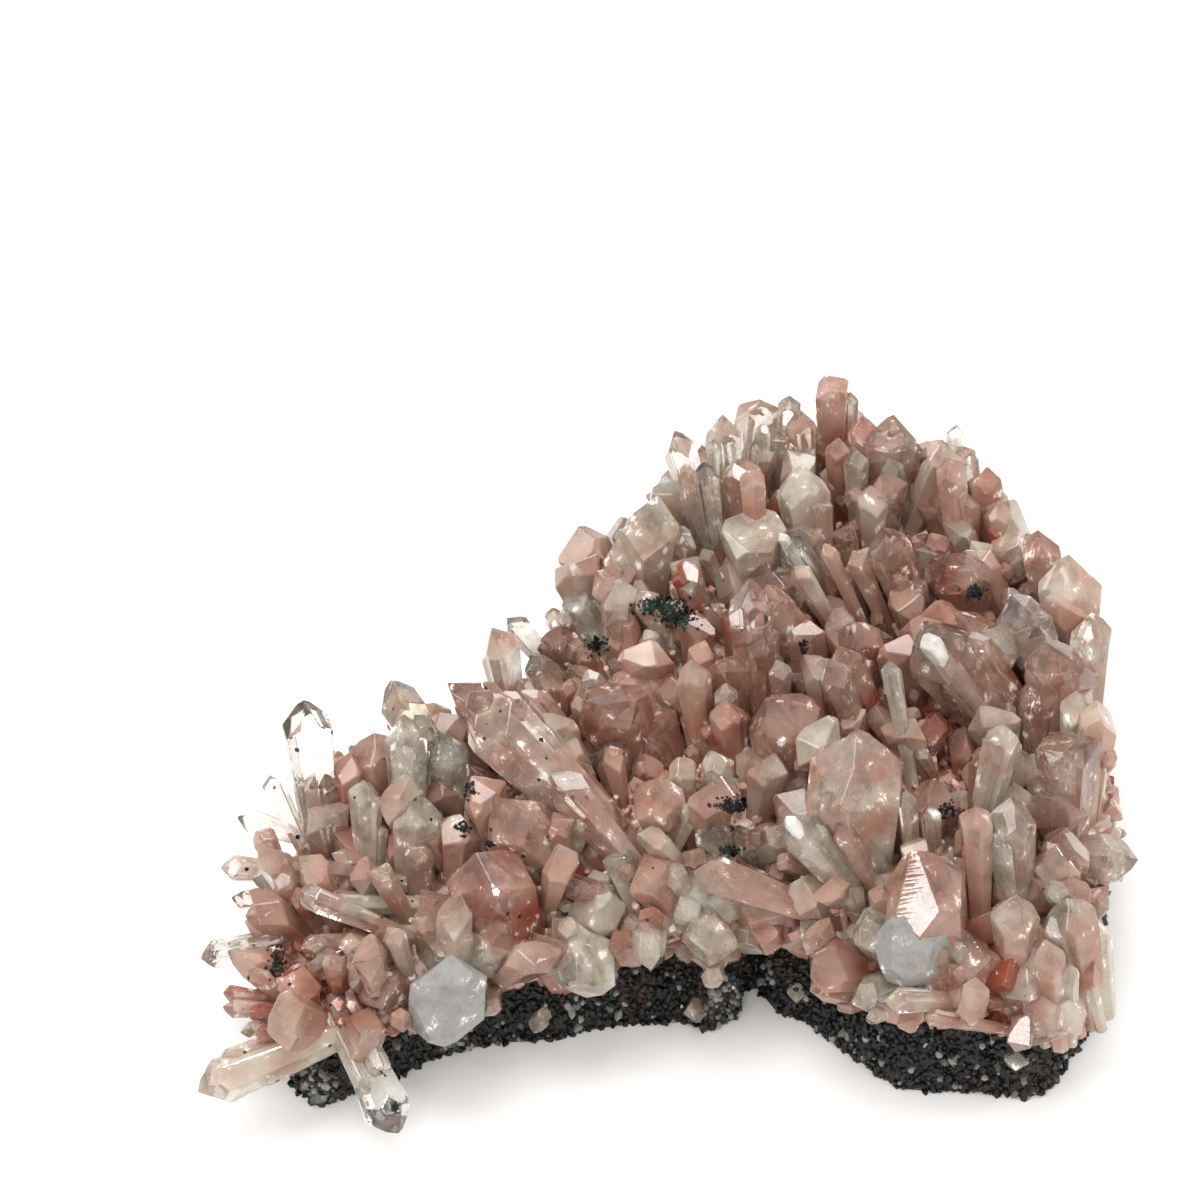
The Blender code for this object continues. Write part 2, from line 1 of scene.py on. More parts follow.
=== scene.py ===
# %% [markdown]
# # A cluster of pink lithium quartz
#
# The specimen is a kidney-shaped plate of dark, glittering rock. A crust of massive quartz covers it,
# and well over a hundred quartz points grow out of the crust and through each other. Their tips are
# clear, and their lower parts are clouded and dusty pink.
#
# The solid model already holds the plate, the crust and the larger points at their real size. This
# script loads it and dresses it: it cuts the same points again with all their faces and bevelled edges,
# adds the many small ones, the glittering grains and the finishes, and sets up the studio.

# %% The solid model
import json
import math
import random

import bmesh
import bpy
from mathutils import Matrix, Vector, noise
from mathutils.bvhtree import BVHTree

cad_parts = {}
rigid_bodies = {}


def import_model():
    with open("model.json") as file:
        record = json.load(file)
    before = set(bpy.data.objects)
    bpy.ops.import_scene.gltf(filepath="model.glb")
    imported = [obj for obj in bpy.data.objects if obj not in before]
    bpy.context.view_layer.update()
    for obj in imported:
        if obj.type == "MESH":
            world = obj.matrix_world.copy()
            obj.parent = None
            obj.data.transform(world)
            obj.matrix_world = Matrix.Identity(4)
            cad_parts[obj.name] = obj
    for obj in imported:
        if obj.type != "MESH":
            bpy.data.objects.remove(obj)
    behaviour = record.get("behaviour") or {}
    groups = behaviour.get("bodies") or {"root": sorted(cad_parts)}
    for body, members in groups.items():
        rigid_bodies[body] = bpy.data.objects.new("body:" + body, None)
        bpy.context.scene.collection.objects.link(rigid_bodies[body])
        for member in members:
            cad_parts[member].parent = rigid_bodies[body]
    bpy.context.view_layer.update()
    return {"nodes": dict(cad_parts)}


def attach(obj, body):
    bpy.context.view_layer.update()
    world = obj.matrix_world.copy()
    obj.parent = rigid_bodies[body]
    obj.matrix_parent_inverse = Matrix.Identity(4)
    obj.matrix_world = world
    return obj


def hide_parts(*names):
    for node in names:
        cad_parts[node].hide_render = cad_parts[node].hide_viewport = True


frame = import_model()
MM = 0.001

# %% [markdown]
# ## The camera
#
# The specimen is seen from the front and well above, so that both its bare front edge and the tops of
# its points show. The camera looks at one point through a long lens, and 0.17 mm of the specimen fills
# one pixel of a picture 1200 pixels wide there. The same numbers turn any place in the picture into a
# point of the specimen later, so they are named here once.

# %% The camera
PICTURE_WIDTH = 1200
PIXEL = 0.17 * MM
SENSOR_WIDTH = 36.0
VIEW_DISTANCE = 0.60
VIEW_ELEVATION = math.radians(48.0)
AIM_POINT = Vector((-11.15, 35.4, 18.0)) * MM
RIGHT = Vector((1, 0, 0))
UPWARD = Vector((0, math.sin(VIEW_ELEVATION), math.cos(VIEW_ELEVATION)))
TOWARD = Vector((0, -math.cos(VIEW_ELEVATION), math.sin(VIEW_ELEVATION)))

scene = bpy.context.scene
camera = bpy.data.objects.new("camera", bpy.data.cameras.new("camera"))
scene.collection.objects.link(camera)
scene.camera = camera
camera.data.sensor_width = SENSOR_WIDTH
camera.data.lens = SENSOR_WIDTH * VIEW_DISTANCE / (PICTURE_WIDTH * PIXEL)
camera.data.clip_start = 10 * MM
camera.location = AIM_POINT + TOWARD * VIEW_DISTANCE
camera.rotation_euler = TOWARD.to_track_quat("Z", "Y").to_euler()
print("lens, mm:", round(camera.data.lens, 1))

# %% [markdown]
# ## The studio
#
# Quartz shows what surrounds it, and what lies inside or behind clear quartz is lit by the whole sky
# and hardly by any one lamp. So the world is a bright even grey, as in a white light tent, and a few
# smaller soft lamps give each face its glint and its own value. The widest one hangs overhead, one
# stands at the left and one at the right rear, where it lights the points from behind. A ring of very
# small lamps adds the sparkle, because a glint is the picture of a lamp. The floor is plain and almost
# white.

# %% The studio
GLINT_LAMPS = 7


def softbox(name, place, size, power):
    """A square area lamp at place that looks at the specimen."""
    lamp = bpy.data.objects.new(name, bpy.data.lights.new(name, "AREA"))
    lamp.data.shape = "SQUARE"
    lamp.data.size = size
    lamp.data.energy = power
    lamp.location = place
    lamp.rotation_euler = Vector(place).to_track_quat("Z", "Y").to_euler()
    scene.collection.objects.link(lamp)
    return lamp


softbox("overhead softbox", (-0.15, 0.10, 0.85), 0.40, 2.6)
softbox("left softbox", (-0.70, -0.10, 0.50), 0.32, 1.5)
softbox("rear softbox", (0.20, 0.75, 0.45), 0.36, 1.9)
softbox("right softbox", (0.65, 0.05, 0.60), 0.14, 0.9)
softbox("front softbox", (-0.20, -0.60, 0.75), 0.12, 0.6)
for number in range(GLINT_LAMPS):
    turn = math.tau * (number + 0.3) / GLINT_LAMPS
    place = Vector((math.cos(turn), math.sin(turn), 1.0 + 0.5 * (number % 3))).normalized() * 0.85
    softbox(f"glint lamp {number}", place, 0.025, 0.18)
SKY_GREY = (0.92, 0.90, 0.88, 1.0)
SKY_STRENGTH = 1.12
sky = bpy.data.worlds.new("studio")
sky.use_nodes = True
sky.node_tree.nodes["Background"].inputs["Color"].default_value = SKY_GREY
sky.node_tree.nodes["Background"].inputs["Strength"].default_value = SKY_STRENGTH
scene.world = sky
scene.view_settings.view_transform = "Standard"

# %% [markdown]
# ## Shader maths
#
# A finish is a graph of nodes, and a graph is hard to read as a list of links. Here a small class wraps
# the output of a node and takes over the arithmetic signs, so that a mask can be written as an
# expression, such as `1 - clouds * 0.5`, and each sign adds its Math node. A second class holds one
# finish and has one method that adds any other node.

# %% Shader maths
class Shade:
    """A number that changes over a surface: the output socket of a shader node."""

    def __init__(self, finish, socket):
        self.finish = finish
        self.socket = socket

    def maths(self, operation, first, second=0.0):
        made = self.finish.node("ShaderNodeMath", {"operation": operation}, {0: first, 1: second})
        return Shade(self.finish, made.outputs[0])

    def __add__(self, other):
        return self.maths("ADD", self, other)

    def __radd__(self, other):
        return self.maths("ADD", other, self)

    def __sub__(self, other):
        return self.maths("SUBTRACT", self, other)

    def __rsub__(self, other):
        return self.maths("SUBTRACT", other, self)

    def __mul__(self, other):
        return self.maths("MULTIPLY", self, other)

    def __rmul__(self, other):
        return self.maths("MULTIPLY", other, self)

    def __truediv__(self, other):
        return self.maths("DIVIDE", self, other)

    def clamped(self):
        return self.maths("MAXIMUM", self.maths("MINIMUM", self, 1.0), 0.0)

    def ramped(self, low, high):
        """0 below low, 1 above high and a soft step between them."""
        made = self.finish.node(
            "ShaderNodeMapRange", {"interpolation_type": "SMOOTHSTEP"},
            {"Value": self, "From Min": low, "From Max": high},
        )
        return Shade(self.finish, made.outputs["Result"])


class Finish:
    """A material and the nodes in it."""

    def __init__(self, name):
        self.material = bpy.data.materials.new(name)
        self.material.use_nodes = True
        self.tree = self.material.node_tree
        self.tree.nodes.clear()
        self.place = self.node("ShaderNodeTexCoord").outputs["Object"]

    def node(self, kind, settings=None, sockets=None):
        """Any node: its settings are set first, and then its sockets get values or links."""
        made = self.tree.nodes.new(kind)
        for key, value in (settings or {}).items():
            setattr(made, key, value)
        for key, value in (sockets or {}).items():
            if isinstance(value, Shade):
                value = value.socket
            if isinstance(value, bpy.types.NodeSocket):
                self.tree.links.new(value, made.inputs[key])
            else:
                made.inputs[key].default_value = value
        return made

    def mark(self, name):
        """A number that the mesh carries at its points."""
        return Shade(self, self.node("ShaderNodeAttribute", {"attribute_name": name}).outputs["Fac"])

    def near(self, centre, reach):
        """1 at a place and 0 beyond its reach."""
        away = self.node("ShaderNodeVectorMath", {"operation": "DISTANCE"}, {0: self.place, 1: centre})
        return Shade(self, away.outputs["Value"]).ramped(reach, reach * 0.4)

    def clouds(self, size, detail=3.0, roughness=0.55, at=None):
        """Soft noise between 0 and 1 whose lumps are about that size."""
        made = self.node(
            "ShaderNodeTexNoise", None,
            {"Vector": at or self.place, "Scale": 1 / size, "Detail": detail, "Roughness": roughness},
        )
        return Shade(self, made.outputs["Fac"])

    def cells(self, size, at=None):
        """A node that parts space into cells of about that size."""
        return self.node("ShaderNodeTexVoronoi", None, {"Vector": at or self.place, "Scale": 1 / size})

    def stretched(self, vector, scale):
        """A vector with each of its numbers multiplied by its own factor."""
        return self.node("ShaderNodeVectorMath", {"operation": "MULTIPLY"}, {0: vector, 1: scale}).outputs[0]

    def chips(self, size):
        """A height in millimetres that tilts each cell's piece of the surface its own way."""
        cell = self.cells(size)
        tilt = self.node("ShaderNodeVectorMath", {"operation": "SUBTRACT"}, {
            0: cell.outputs["Color"], 1: (0.5, 0.5, 0.5),
        })
        away = self.node("ShaderNodeVectorMath", {"operation": "SUBTRACT"}, {
            0: self.place, 1: cell.outputs["Position"],
        })
        height = self.node("ShaderNodeVectorMath", {"operation": "DOT_PRODUCT"}, {
            0: tilt.outputs[0], 1: away.outputs[0],
        })
        return Shade(self, height.outputs["Value"]) / MM

    def blend(self, share, first, second):
        """The first colour where share is 0 and the second where it is 1."""
        made = self.node("ShaderNodeMix", {"data_type": "RGBA"}, {"Factor": share, 6: first, 7: second})
        return made.outputs[2]

    def bump(self, height, depth):
        """A normal that follows a height between 0 and 1 which stands for that depth."""
        return self.node("ShaderNodeBump", None, {"Height": height, "Distance": depth}).outputs["Normal"]

    def surface(self, shader):
        """Ends the graph in a shader and gives the material back."""
        self.node("ShaderNodeOutputMaterial", None, {"Surface": shader})
        return self.material


print("shader helpers ready")

# %% [markdown]
# ## Places in the picture, and the ground that the crystals stand on
#
# The points are given by where a point's foot and tip are seen, how wide it is, and how far its
# tip leans towards the viewer. A foot lies where the line of sight meets the crust, so the script walks
# along that line from the near end until it is under the crust, and then halves the last step. The rim
# of the plate is read the same way along the front, and laid out in millimetres behind.

# %% Places in the picture
def point_in_view(spot, nearness):
    """The point seen at spot that is that much nearer the camera than the point aimed at."""
    depth = (VIEW_DISTANCE - nearness) / VIEW_DISTANCE
    across = (spot[0] - PICTURE_WIDTH / 2) * PIXEL * depth
    along = (PICTURE_WIDTH / 2 - spot[1]) * PIXEL * depth
    return AIM_POINT + RIGHT * across + UPWARD * along + TOWARD * nearness


SEARCH_REACH = 80.0 * MM
SEARCH_STEP = 1.6 * MM


def point_on_surface(spot, height_at):
    """The nearest point seen at spot that lies on the surface whose height is height_at(x, y)."""
    def above(nearness):
        point = point_in_view(spot, nearness)
        return point.z > height_at(point.x, point.y)

    nearness = SEARCH_REACH
    while nearness > -SEARCH_REACH and above(nearness):
        nearness -= SEARCH_STEP
    step = SEARCH_STEP
    for _ in range(12):
        step /= 2
        if not above(nearness + step):
            nearness += step
    return point_in_view(spot, nearness)


# %% The rim of the plate
FRONT_RIM_IN_VIEW = (
    (288, 1066), (294, 1086), (303, 1101), (322, 1106), (346, 1096), (372, 1086),
    (400, 1075), (425, 1061), (460, 1050), (500, 1042), (545, 1040), (570, 1035), (600, 1028),
    (635, 1022), (668, 1021), (684, 1023), (700, 1032), (724, 1029), (737, 1018), (736, 1001),
    (737, 988), (744, 983), (755, 986), (766, 1001), (776, 1010), (790, 1011), (815, 1028),
    (840, 1048), (862, 1060), (880, 1080), (905, 1090), (940, 1092), (975, 1091), (998, 1093),
    (1020, 1100), (1050, 1091), (1063, 1076), (1072, 1050),
)
BACK_RIM = (
    (67, -42), (70, -30), (71, -17), (72, -2), (71, 11), (70, 24), (67, 37), (61, 48), (54, 57),
    (44, 64), (32, 67), (20, 66), (9, 62), (0, 55), (-7, 46), (-13, 37), (-19, 27), (-27, 17), (-36, 9),
    (-46, 2), (-55, -6), (-62, -15), (-65, -26), (-66, -38), (-64, -47),
)
RIM = [point_on_surface(spot, lambda x, y: 0.0).xy for spot in FRONT_RIM_IN_VIEW]
RIM += [Vector(spot) * MM for spot in BACK_RIM]
MOUND_CENTRE = Vector((15.0, -10.0)) * MM


def cross(a, b):
    """The height of the cross product of two plan vectors."""
    return a.x * b.y - a.y * b.x


def rim_reach(direction):
    """How far the rim is from the mound's centre in a direction."""
    reach = 0.0
    for a, b in zip(RIM, RIM[1:] + RIM[:1]):
        turn = cross(direction, b - a)
        if abs(turn) < 1e-12:
            continue
        along = cross(a - MOUND_CENTRE, b - a) / turn
        share = cross(a - MOUND_CENTRE, direction) / turn
        if along > 0 and -1e-6 <= share <= 1 + 1e-6:
            reach = max(reach, along)
    return reach


def even_points(step):
    """Points about step apart along the rim."""
    closed = RIM + RIM[:1]
    total = sum((b - a).length for a, b in zip(closed, closed[1:]))
    count = round(total / step)
    points, travelled, wanted = [], 0.0, 0.0
    for a, b in zip(closed, closed[1:]):
        run = (b - a).length
        while wanted < travelled + run and len(points) < count:
            points.append(a.lerp(b, (wanted - travelled) / run))
            wanted += total / count
        travelled += run
    return points


print("rim points:", len(RIM))

# %% The height of the ground
PLATE_HEIGHT = 12.0 * MM
MOUND_HEIGHT = 26.5 * MM
FRONT_EDGE = 1.5 * MM
BACK_WALL = 10.0 * MM
FRONT_SLOPE_RUN = 5.5 * MM
SLOPE_CURVE = 1.4


def arm_share(direction):
    """1 towards the left arm, which is low, and 0 away from it."""
    return max(0.0, min(1.0, (-direction.x - 0.35) / 0.5))


def back_share(direction):
    """1 towards the back and the right, where the crust ends in a steep wall, and 0 at the front."""
    return max(0.0, min(1.0, (direction.y + 0.35 + 0.45 * max(0.0, direction.x)) / 0.7))


def mound_height(x, y):
    """The height of the crust's top at a place in the plan."""
    away = Vector((x, y)) - MOUND_CENTRE
    if away.length < 1e-9:
        return MOUND_HEIGHT
    direction = away.normalized()
    share = away.length / max(rim_reach(direction), 1e-6)
    low = arm_share(direction)
    edge = PLATE_HEIGHT + FRONT_EDGE + BACK_WALL * back_share(direction) * (1 - 0.8 * low)
    steepness = 3.2 - 1.8 * low
    return edge + (MOUND_HEIGHT - edge) * max(0.0, 1.0 - share ** steepness)


def rock_height(x, y):
    """The height of the rock's bare sloping face at a place in the plan."""
    spot = Vector((x, y))
    inside = 1.0
    for a, b in zip(RIM, RIM[1:] + RIM[:1]):
        share = max(0.0, min(1.0, (spot - a).dot(b - a) / (b - a).length_squared))
        inside = min(inside, (spot - a.lerp(b, share)).length)
    return PLATE_HEIGHT * min(1.0, inside / FRONT_SLOPE_RUN) ** (1 / SLOPE_CURVE)


print("mound height, mm:", round(mound_height(*MOUND_CENTRE) / MM, 1))

# %% [markdown]
# ## Quartz
#
# Real quartz of this kind is glass-clear at the tip and full of tiny inclusions near the foot, where
# it looks like frosted pink porcelain. One finish covers both: a clear shader with quartz's own
# refraction, 1.544, and a cloudy one, mixed by a share that falls from foot to tip. The share comes
# from four numbers that each crystal carries, and soft noise breaks it into billows. The listed hollows
# make what stands in them redder and darker, partly its own red and partly painted shade. Small white
# flecks along the streaks are painted glints. Faint cross stripes on the faces are a bump along the
# crystal.

# %% Quartz
QUARTZ_IOR = 1.544
# painted shade, partly: the quartz is redder and darker round these listed hollows
SHADED_HOLLOW_SPOTS = (
    ((945, 745), 9.0, 1.0), ((772, 470), 4.0, 0.8), ((738, 555), 6.0, 0.7), ((852, 435), 4.0, 0.7),
    ((850, 510), 6.0, 0.6), ((655, 665), 5.0, 0.6), ((730, 722), 6.0, 0.7), ((1020, 875), 5.0, 0.6),
    ((850, 690), 12.0, 0.5), ((760, 640), 9.0, 0.4), ((700, 850), 5.0, 0.3), ((380, 800), 7.0, 0.5),
    ((330, 1010), 9.0, 0.6), ((640, 790), 9.0, 0.4), ((1010, 1010), 8.0, 0.5),
    ((856, 800), 9.0, 0.6), ((545, 780), 10.0, 0.3), ((330, 890), 13.0, 0.4), ((280, 1000), 11.0, 0.5), ((1080, 690), 12.0, 0.35),
)
SHADED_HOLLOWS = [(point_on_surface(spot, mound_height), reach * MM, depth) for spot, reach, depth in SHADED_HOLLOW_SPOTS]
HOLLOW_SHADE_SPREAD = 1.6
GOLDEN_TIP = point_on_surface((408, 700), lambda x, y: 30 * MM)
GOLDEN_REACH = 7.0 * MM
GOLD_TINT = (0.86, 0.62, 0.22, 1.0)
CLEAR_TINT = (0.985, 0.965, 0.93, 1.0)
BLUSH_TINT = (0.82, 0.66, 0.58, 1.0)
FROST_GREY = (0.27, 0.27, 0.255, 1.0)
# white of milky quartz and of the painted reflection bands laid along prism faces
MILK_AND_REFLECTION_WHITE = (0.70, 0.68, 0.65, 1.0)
PALE = (0.465, 0.425, 0.34, 1.0)
DUSTY_PINK = (0.385, 0.215, 0.16, 1.0)
# deep red of the red points, partly painted shade of the recesses and hollows
DEEP_RED_AND_SHADE = (0.24, 0.055, 0.032, 1.0)
# painted glint: white flecks along the streaks that stand in for sparkle
PAINTED_GLINT_WHITE = (0.84, 0.81, 0.77, 1.0)
# painted light: the crust under the points is a brightened copy of the wall's quartz, for light it lacks there
BRIGHTENED_CRUST_PALE = (0.88, 0.77, 0.65, 1.0)
BRIGHTENED_CRUST_PINK = (0.76, 0.44, 0.33, 1.0)
WALL_PALE = (0.47, 0.40, 0.33, 1.0)
WALL_PINK = (0.40, 0.22, 0.17, 1.0)
SPECK_BLACK = (0.012, 0.014, 0.013, 1.0)
LEAST_MILK = 0.16
GLOSS_ROUGHNESS = 0.0
CLEAR_ROUGHNESS = 0.0
STRIPE = 0.35 * MM
STRIPE_DEPTH = 0.006 * MM
CHIP = 1.3 * MM
CHIP_TILT = 0.55
STREAK = 0.42 * MM
SPECK = 1.5 * MM


def hollow_red_and_shade(point):
    """How much redder and darker the listed hollows make the quartz at a point: partly painted shade."""
    red = 0.0
    for centre, reach, depth in SHADED_HOLLOWS:
        share = max(0.0, 1 - (point - centre).length / (reach * HOLLOW_SHADE_SPREAD))
        red += depth * share * share * (3 - 2 * share)
    return red


def redness(quartz):
    """How pink the quartz is: 0 pale, 1 dusty pink and 2 deep red, as in a hollow with painted shade."""
    return quartz.mark("blush") + (quartz.clouds(6 * MM, 0.0) - 0.5) * 1.3


def body_colour(quartz, red, pale=PALE, pink=DUSTY_PINK):
    """The colour of cloudy quartz."""
    white = quartz.blend(red.ramped(-1.7, -1.2), FROST_GREY, MILK_AND_REFLECTION_WHITE)
    pale = quartz.blend(red.ramped(-0.6, 0.1), white, pale)
    blushed = quartz.blend(red.ramped(0.0, 1.0), pale, pink)
    return quartz.blend(red.ramped(0.9, 1.7), blushed, DEEP_RED_AND_SHADE)


def cloudy_shader(quartz, colour, normal):
    """Quartz that is white or pink with tiny inclusions, under a glossy skin."""
    return quartz.node("ShaderNodeBsdfPrincipled", None, {
        "Base Color": colour, "Roughness": GLOSS_ROUGHNESS, "IOR": QUARTZ_IOR, "Normal": normal,
    }).outputs[0]


def massive_finish():
    """Cloudy quartz all through, for the crust between the points."""
    quartz = Finish("massive quartz")
    chipped = quartz.bump(quartz.chips(CHIP).socket, CHIP_TILT * MM)
    tone = Shade(quartz, quartz.cells(CHIP).outputs["Color"])
    red = redness(quartz) + (tone - 0.5) * 1.2
    # painted light: the brightened copy on the crust under the points, the plain one on the outer wall
    outer = quartz.mark("cloud").ramped(0.5, 0.9)
    pale = quartz.blend(outer, BRIGHTENED_CRUST_PALE, WALL_PALE)
    pink = quartz.blend(outer, BRIGHTENED_CRUST_PINK, WALL_PINK)
    colour = body_colour(quartz, red, pale, pink)
    return quartz.surface(cloudy_shader(quartz, colour, chipped))


def quartz_finish(name, speckled):
    """Clear and cloudy quartz, mixed from foot to tip, with or without black specks."""
    quartz = Finish(name)
    along, cloud = quartz.mark("along"), quartz.mark("cloud")
    grown = quartz.node("ShaderNodeAttribute", {"attribute_name": "grown"}).outputs["Vector"]
    streaks = quartz.clouds(STREAK, 2.0, 0.7, quartz.stretched(grown, (1.0, 0.7, 0.4)))
    billows = quartz.clouds(3 * MM, 1.0, 0.6, grown)
    # painted glints: white flecks along the streaks, made cloudier too, stand in for sparkling reflections
    painted_glints = (streaks + (billows - 0.5) * 1.8).ramped(0.76, 1.05)
    milk = cloud + 0.16 + (1 - along) * 0.7 + (billows - 0.5) * 0.9 + (streaks - 0.5) * 0.5
    milk = milk.ramped(-0.03, 1.2) + painted_glints * 0.3 + cloud.ramped(-0.25, 0.1) * LEAST_MILK
    red = redness(quartz) + (1 - along) * 0.25 + (streaks - 0.5) * 0.5
    body = quartz.blend(painted_glints, body_colour(quartz, red), PAINTED_GLINT_WHITE)
    tint = quartz.blend(red.ramped(0.1, 1.4), CLEAR_TINT, BLUSH_TINT)
    if speckled:
        tint = quartz.blend(quartz.near(GOLDEN_TIP, GOLDEN_REACH), tint, GOLD_TINT)
        cell = quartz.cells(SPECK, grown)
        chance = Shade(quartz, cell.outputs["Color"]).ramped(0.74, 0.88)
        speck = (chance * 0.3 - Shade(quartz, cell.outputs["Distance"])).ramped(0.0, 0.05)
        speck = speck * cloud.ramped(0.55, 0.45)
        body = quartz.blend(speck, body, SPECK_BLACK)
        milk = milk + speck
    stripes = quartz.clouds(STRIPE, 0.0, 0.5, quartz.stretched(grown, (0.08, 0.08, 1.0)))
    faces = quartz.bump(stripes, STRIPE_DEPTH)
    clear = quartz.node("ShaderNodeBsdfPrincipled", None, {
        "Base Color": tint, "Roughness": CLEAR_ROUGHNESS, "IOR": QUARTZ_IOR,
        "Transmission Weight": 1.0, "Normal": faces,
    })
    outside = 1 - Shade(quartz, quartz.node("ShaderNodeNewGeometry").outputs["Backfacing"])
    both = quartz.node("ShaderNodeMixShader", None, {
        0: milk.clamped() * outside, 1: clear.outputs[0], 2: cloudy_shader(quartz, body, faces),
    })
    return quartz.surface(both.outputs[0])


QUARTZ = quartz_finish("quartz", False)
SPECKLED = quartz_finish("speckled quartz", True)
MASSIVE = massive_finish()
print("quartz nodes:", len(QUARTZ.node_tree.nodes), "and", len(MASSIVE.node_tree.nodes))

# %% [markdown]
# ## One crystal
#
# A quartz point is a six-sided prism that three large and three small faces close, each leaning 51.8
# degrees from the axis. The quickest true way is to start with a long six-sided cylinder and cut it
# with six planes: every face is then flat, and the tip gets quartz's own angles however skewed it is.
# The random draws are seeded by the crystal's name and made in the same order as in the solid model, so
# both cut the same point. The edges are bevelled a little, because a worn edge that catches the light
# is what makes a crystal look real.

# %% One crystal
SIDES = 6
TIP_FACE_LEAN = math.radians(51.8)
THREE_FACED_UNDER = 7.0
ROOT_DEPTH = 6.0
ROOT_TAPER = 0.45
EDGE_WEAR = 0.15 * MM
SEED = 7


def tip_plane(side):
    """The outward normal of one tip face of a point that stands on Z."""
    turn = side * math.tau / SIDES
    lean = math.sin(TIP_FACE_LEAN)
    return Vector((math.cos(turn) * lean, math.sin(turn) * lean, math.cos(TIP_FACE_LEAN)))


def cut_off(shape, place, normal):
    """Cuts away what lies beyond a plane and closes the cut."""
    geometry = shape.verts[:] + shape.edges[:] + shape.faces[:]
    cut = bmesh.ops.bisect_plane(shape, geom=geometry, plane_co=place, plane_no=normal, clear_outer=True)
    rim = [item for item in cut["geom_cut"] if isinstance(item, bmesh.types.BMEdge)]
    if rim:
        bmesh.ops.contextual_create(shape, geom=rim)


def face_outwards(shape):
    """Turns every face of a convex shape outwards."""
    middle = sum((vert.co for vert in shape.verts), Vector()) / len(shape.verts)
    for face in shape.faces:
        face.normal_update()
        if face.normal.dot(face.calc_center_median() - middle) < 0:
            face.normal_flip()


def upright_crystal(name, length, width, root, worn=True, broken=0.0):
    """A crystal on Z whose foot is at the origin, as a bmesh, and its random turn about its axis.

    A broken one ends in one plane that leans by up to that angle.
    """
    draw = random.Random(f"{SEED} {name}")
    extra = random.Random(f"small faces of {name}")
    radius = width * MM / 1.87
    shape = bmesh.new()
    bmesh.ops.create_cone(
        shape, cap_ends=True, segments=SIDES, radius1=radius * 1.04, radius2=radius * 0.93,
        depth=length + 2 * radius,
        matrix=Matrix.Translation((0, 0, length / 2)) @ Matrix.Rotation(math.pi / 6, 4, "Z"),
    )
    first = draw.randrange(2)
    skewed = draw.randrange(SIDES)
    for side in range(SIDES):
        large = side % 2 == first
        if width < THREE_FACED_UNDER and not large:
            lift = extra.uniform(0.35, 0.9)
        else:
            lift = draw.uniform(0.0, 0.25) if large else draw.uniform(0.3, 0.8)
            if side == skewed:
                lift -= draw.uniform(0.1, 0.6)
        cut_off(shape, (0, 0, length + lift * radius * 0.6), tip_plane(side))
    if broken:
        lean = Matrix.Rotation(broken * extra.uniform(0.15, 1.0), 3, "X") @ Vector((0, 0, 1))
        lean.rotate(Matrix.Rotation(extra.uniform(0, math.tau), 3, "Z"))
        cut_off(shape, (0, 0, length - radius * extra.uniform(0.3, 0.9)), lean)
    top = max(vert.co.z for vert in shape.verts)
    flat = draw.uniform(0.78, 1.0)
    for vert in shape.verts:
        vert.co.x *= flat
        if vert.co.z < -radius * 0.5:
            vert.co = Vector((vert.co.x * ROOT_TAPER, vert.co.y * ROOT_TAPER, -root * MM))
        else:
            vert.co.z += length - top
    face_outwards(shape)
    if worn:
        edges = [edge for edge in shape.edges if max(vert.co.z for vert in edge.verts) > 0]
        wear = min(EDGE_WEAR, radius * 0.08)
        bmesh.ops.bevel(shape, geom=edges, offset=wear, segments=1, affect="EDGES", clamp_overlap=True)
    return shape, draw.uniform(0, math.tau)


class Growth:
    """Crystals gathered into one mesh, with the numbers that the finish reads at each point."""

    def __init__(self):
        self.shape = bmesh.new()
        layers = self.shape.verts.layers
        self.marks = {name: layers.float.new(name) for name in ("along", "cloud", "blush")}
        self.grown = layers.float_vector.new("grown")
        self.count = 0

    def add(self, name, foot, tip, width, look, root=ROOT_DEPTH, broken=0.0):
        """Adds one crystal from foot to tip. Its look is how cloudy and how pink it is."""
        axis = tip - foot
        length = axis.length
        crystal, roll = upright_crystal(name, length, width, root, True, broken)
        stand = axis.to_track_quat("Z", "Y").to_matrix().to_4x4()
        place = Matrix.Translation(foot) @ stand @ Matrix.Rotation(roll, 4, "Z")
        twins = {}
        draw = random.Random(name)
        offset = Vector([draw.uniform(-900, 900) * MM for _ in range(3)])
        look = (look[0] + draw.uniform(-0.15, 0.15), look[1] + draw.uniform(-0.3, 0.3))
        for vert in crystal.verts:
            twin = self.shape.verts.new(place @ vert.co)
            twin[self.marks["along"]] = max(0.0, min(1.0, vert.co.z / length))
            twin[self.marks["cloud"]] = look[0]
            # the blush mark also carries the hollows' painted shade
            twin[self.marks["blush"]] = look[1] + hollow_red_and_shade(twin.co)
            twin[self.grown] = vert.co + offset
            twins[vert] = twin
        for face in crystal.faces:
            self.shape.faces.new([twins[vert] for vert in face.verts])
        crystal.free()
        self.count += 1

    def finished(self, name, material):
        """The mesh as a piece of the object."""
        mesh = bpy.data.meshes.new(name)
        self.shape.to_mesh(mesh)
        self.shape.free()
        piece = bpy.data.objects.new(name, mesh)
        mesh.materials.append(material)
        scene.collection.objects.link(piece)
        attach(piece, "root")
        print(name, "crystals:", self.count, "faces:", len(mesh.polygons))
        return piece
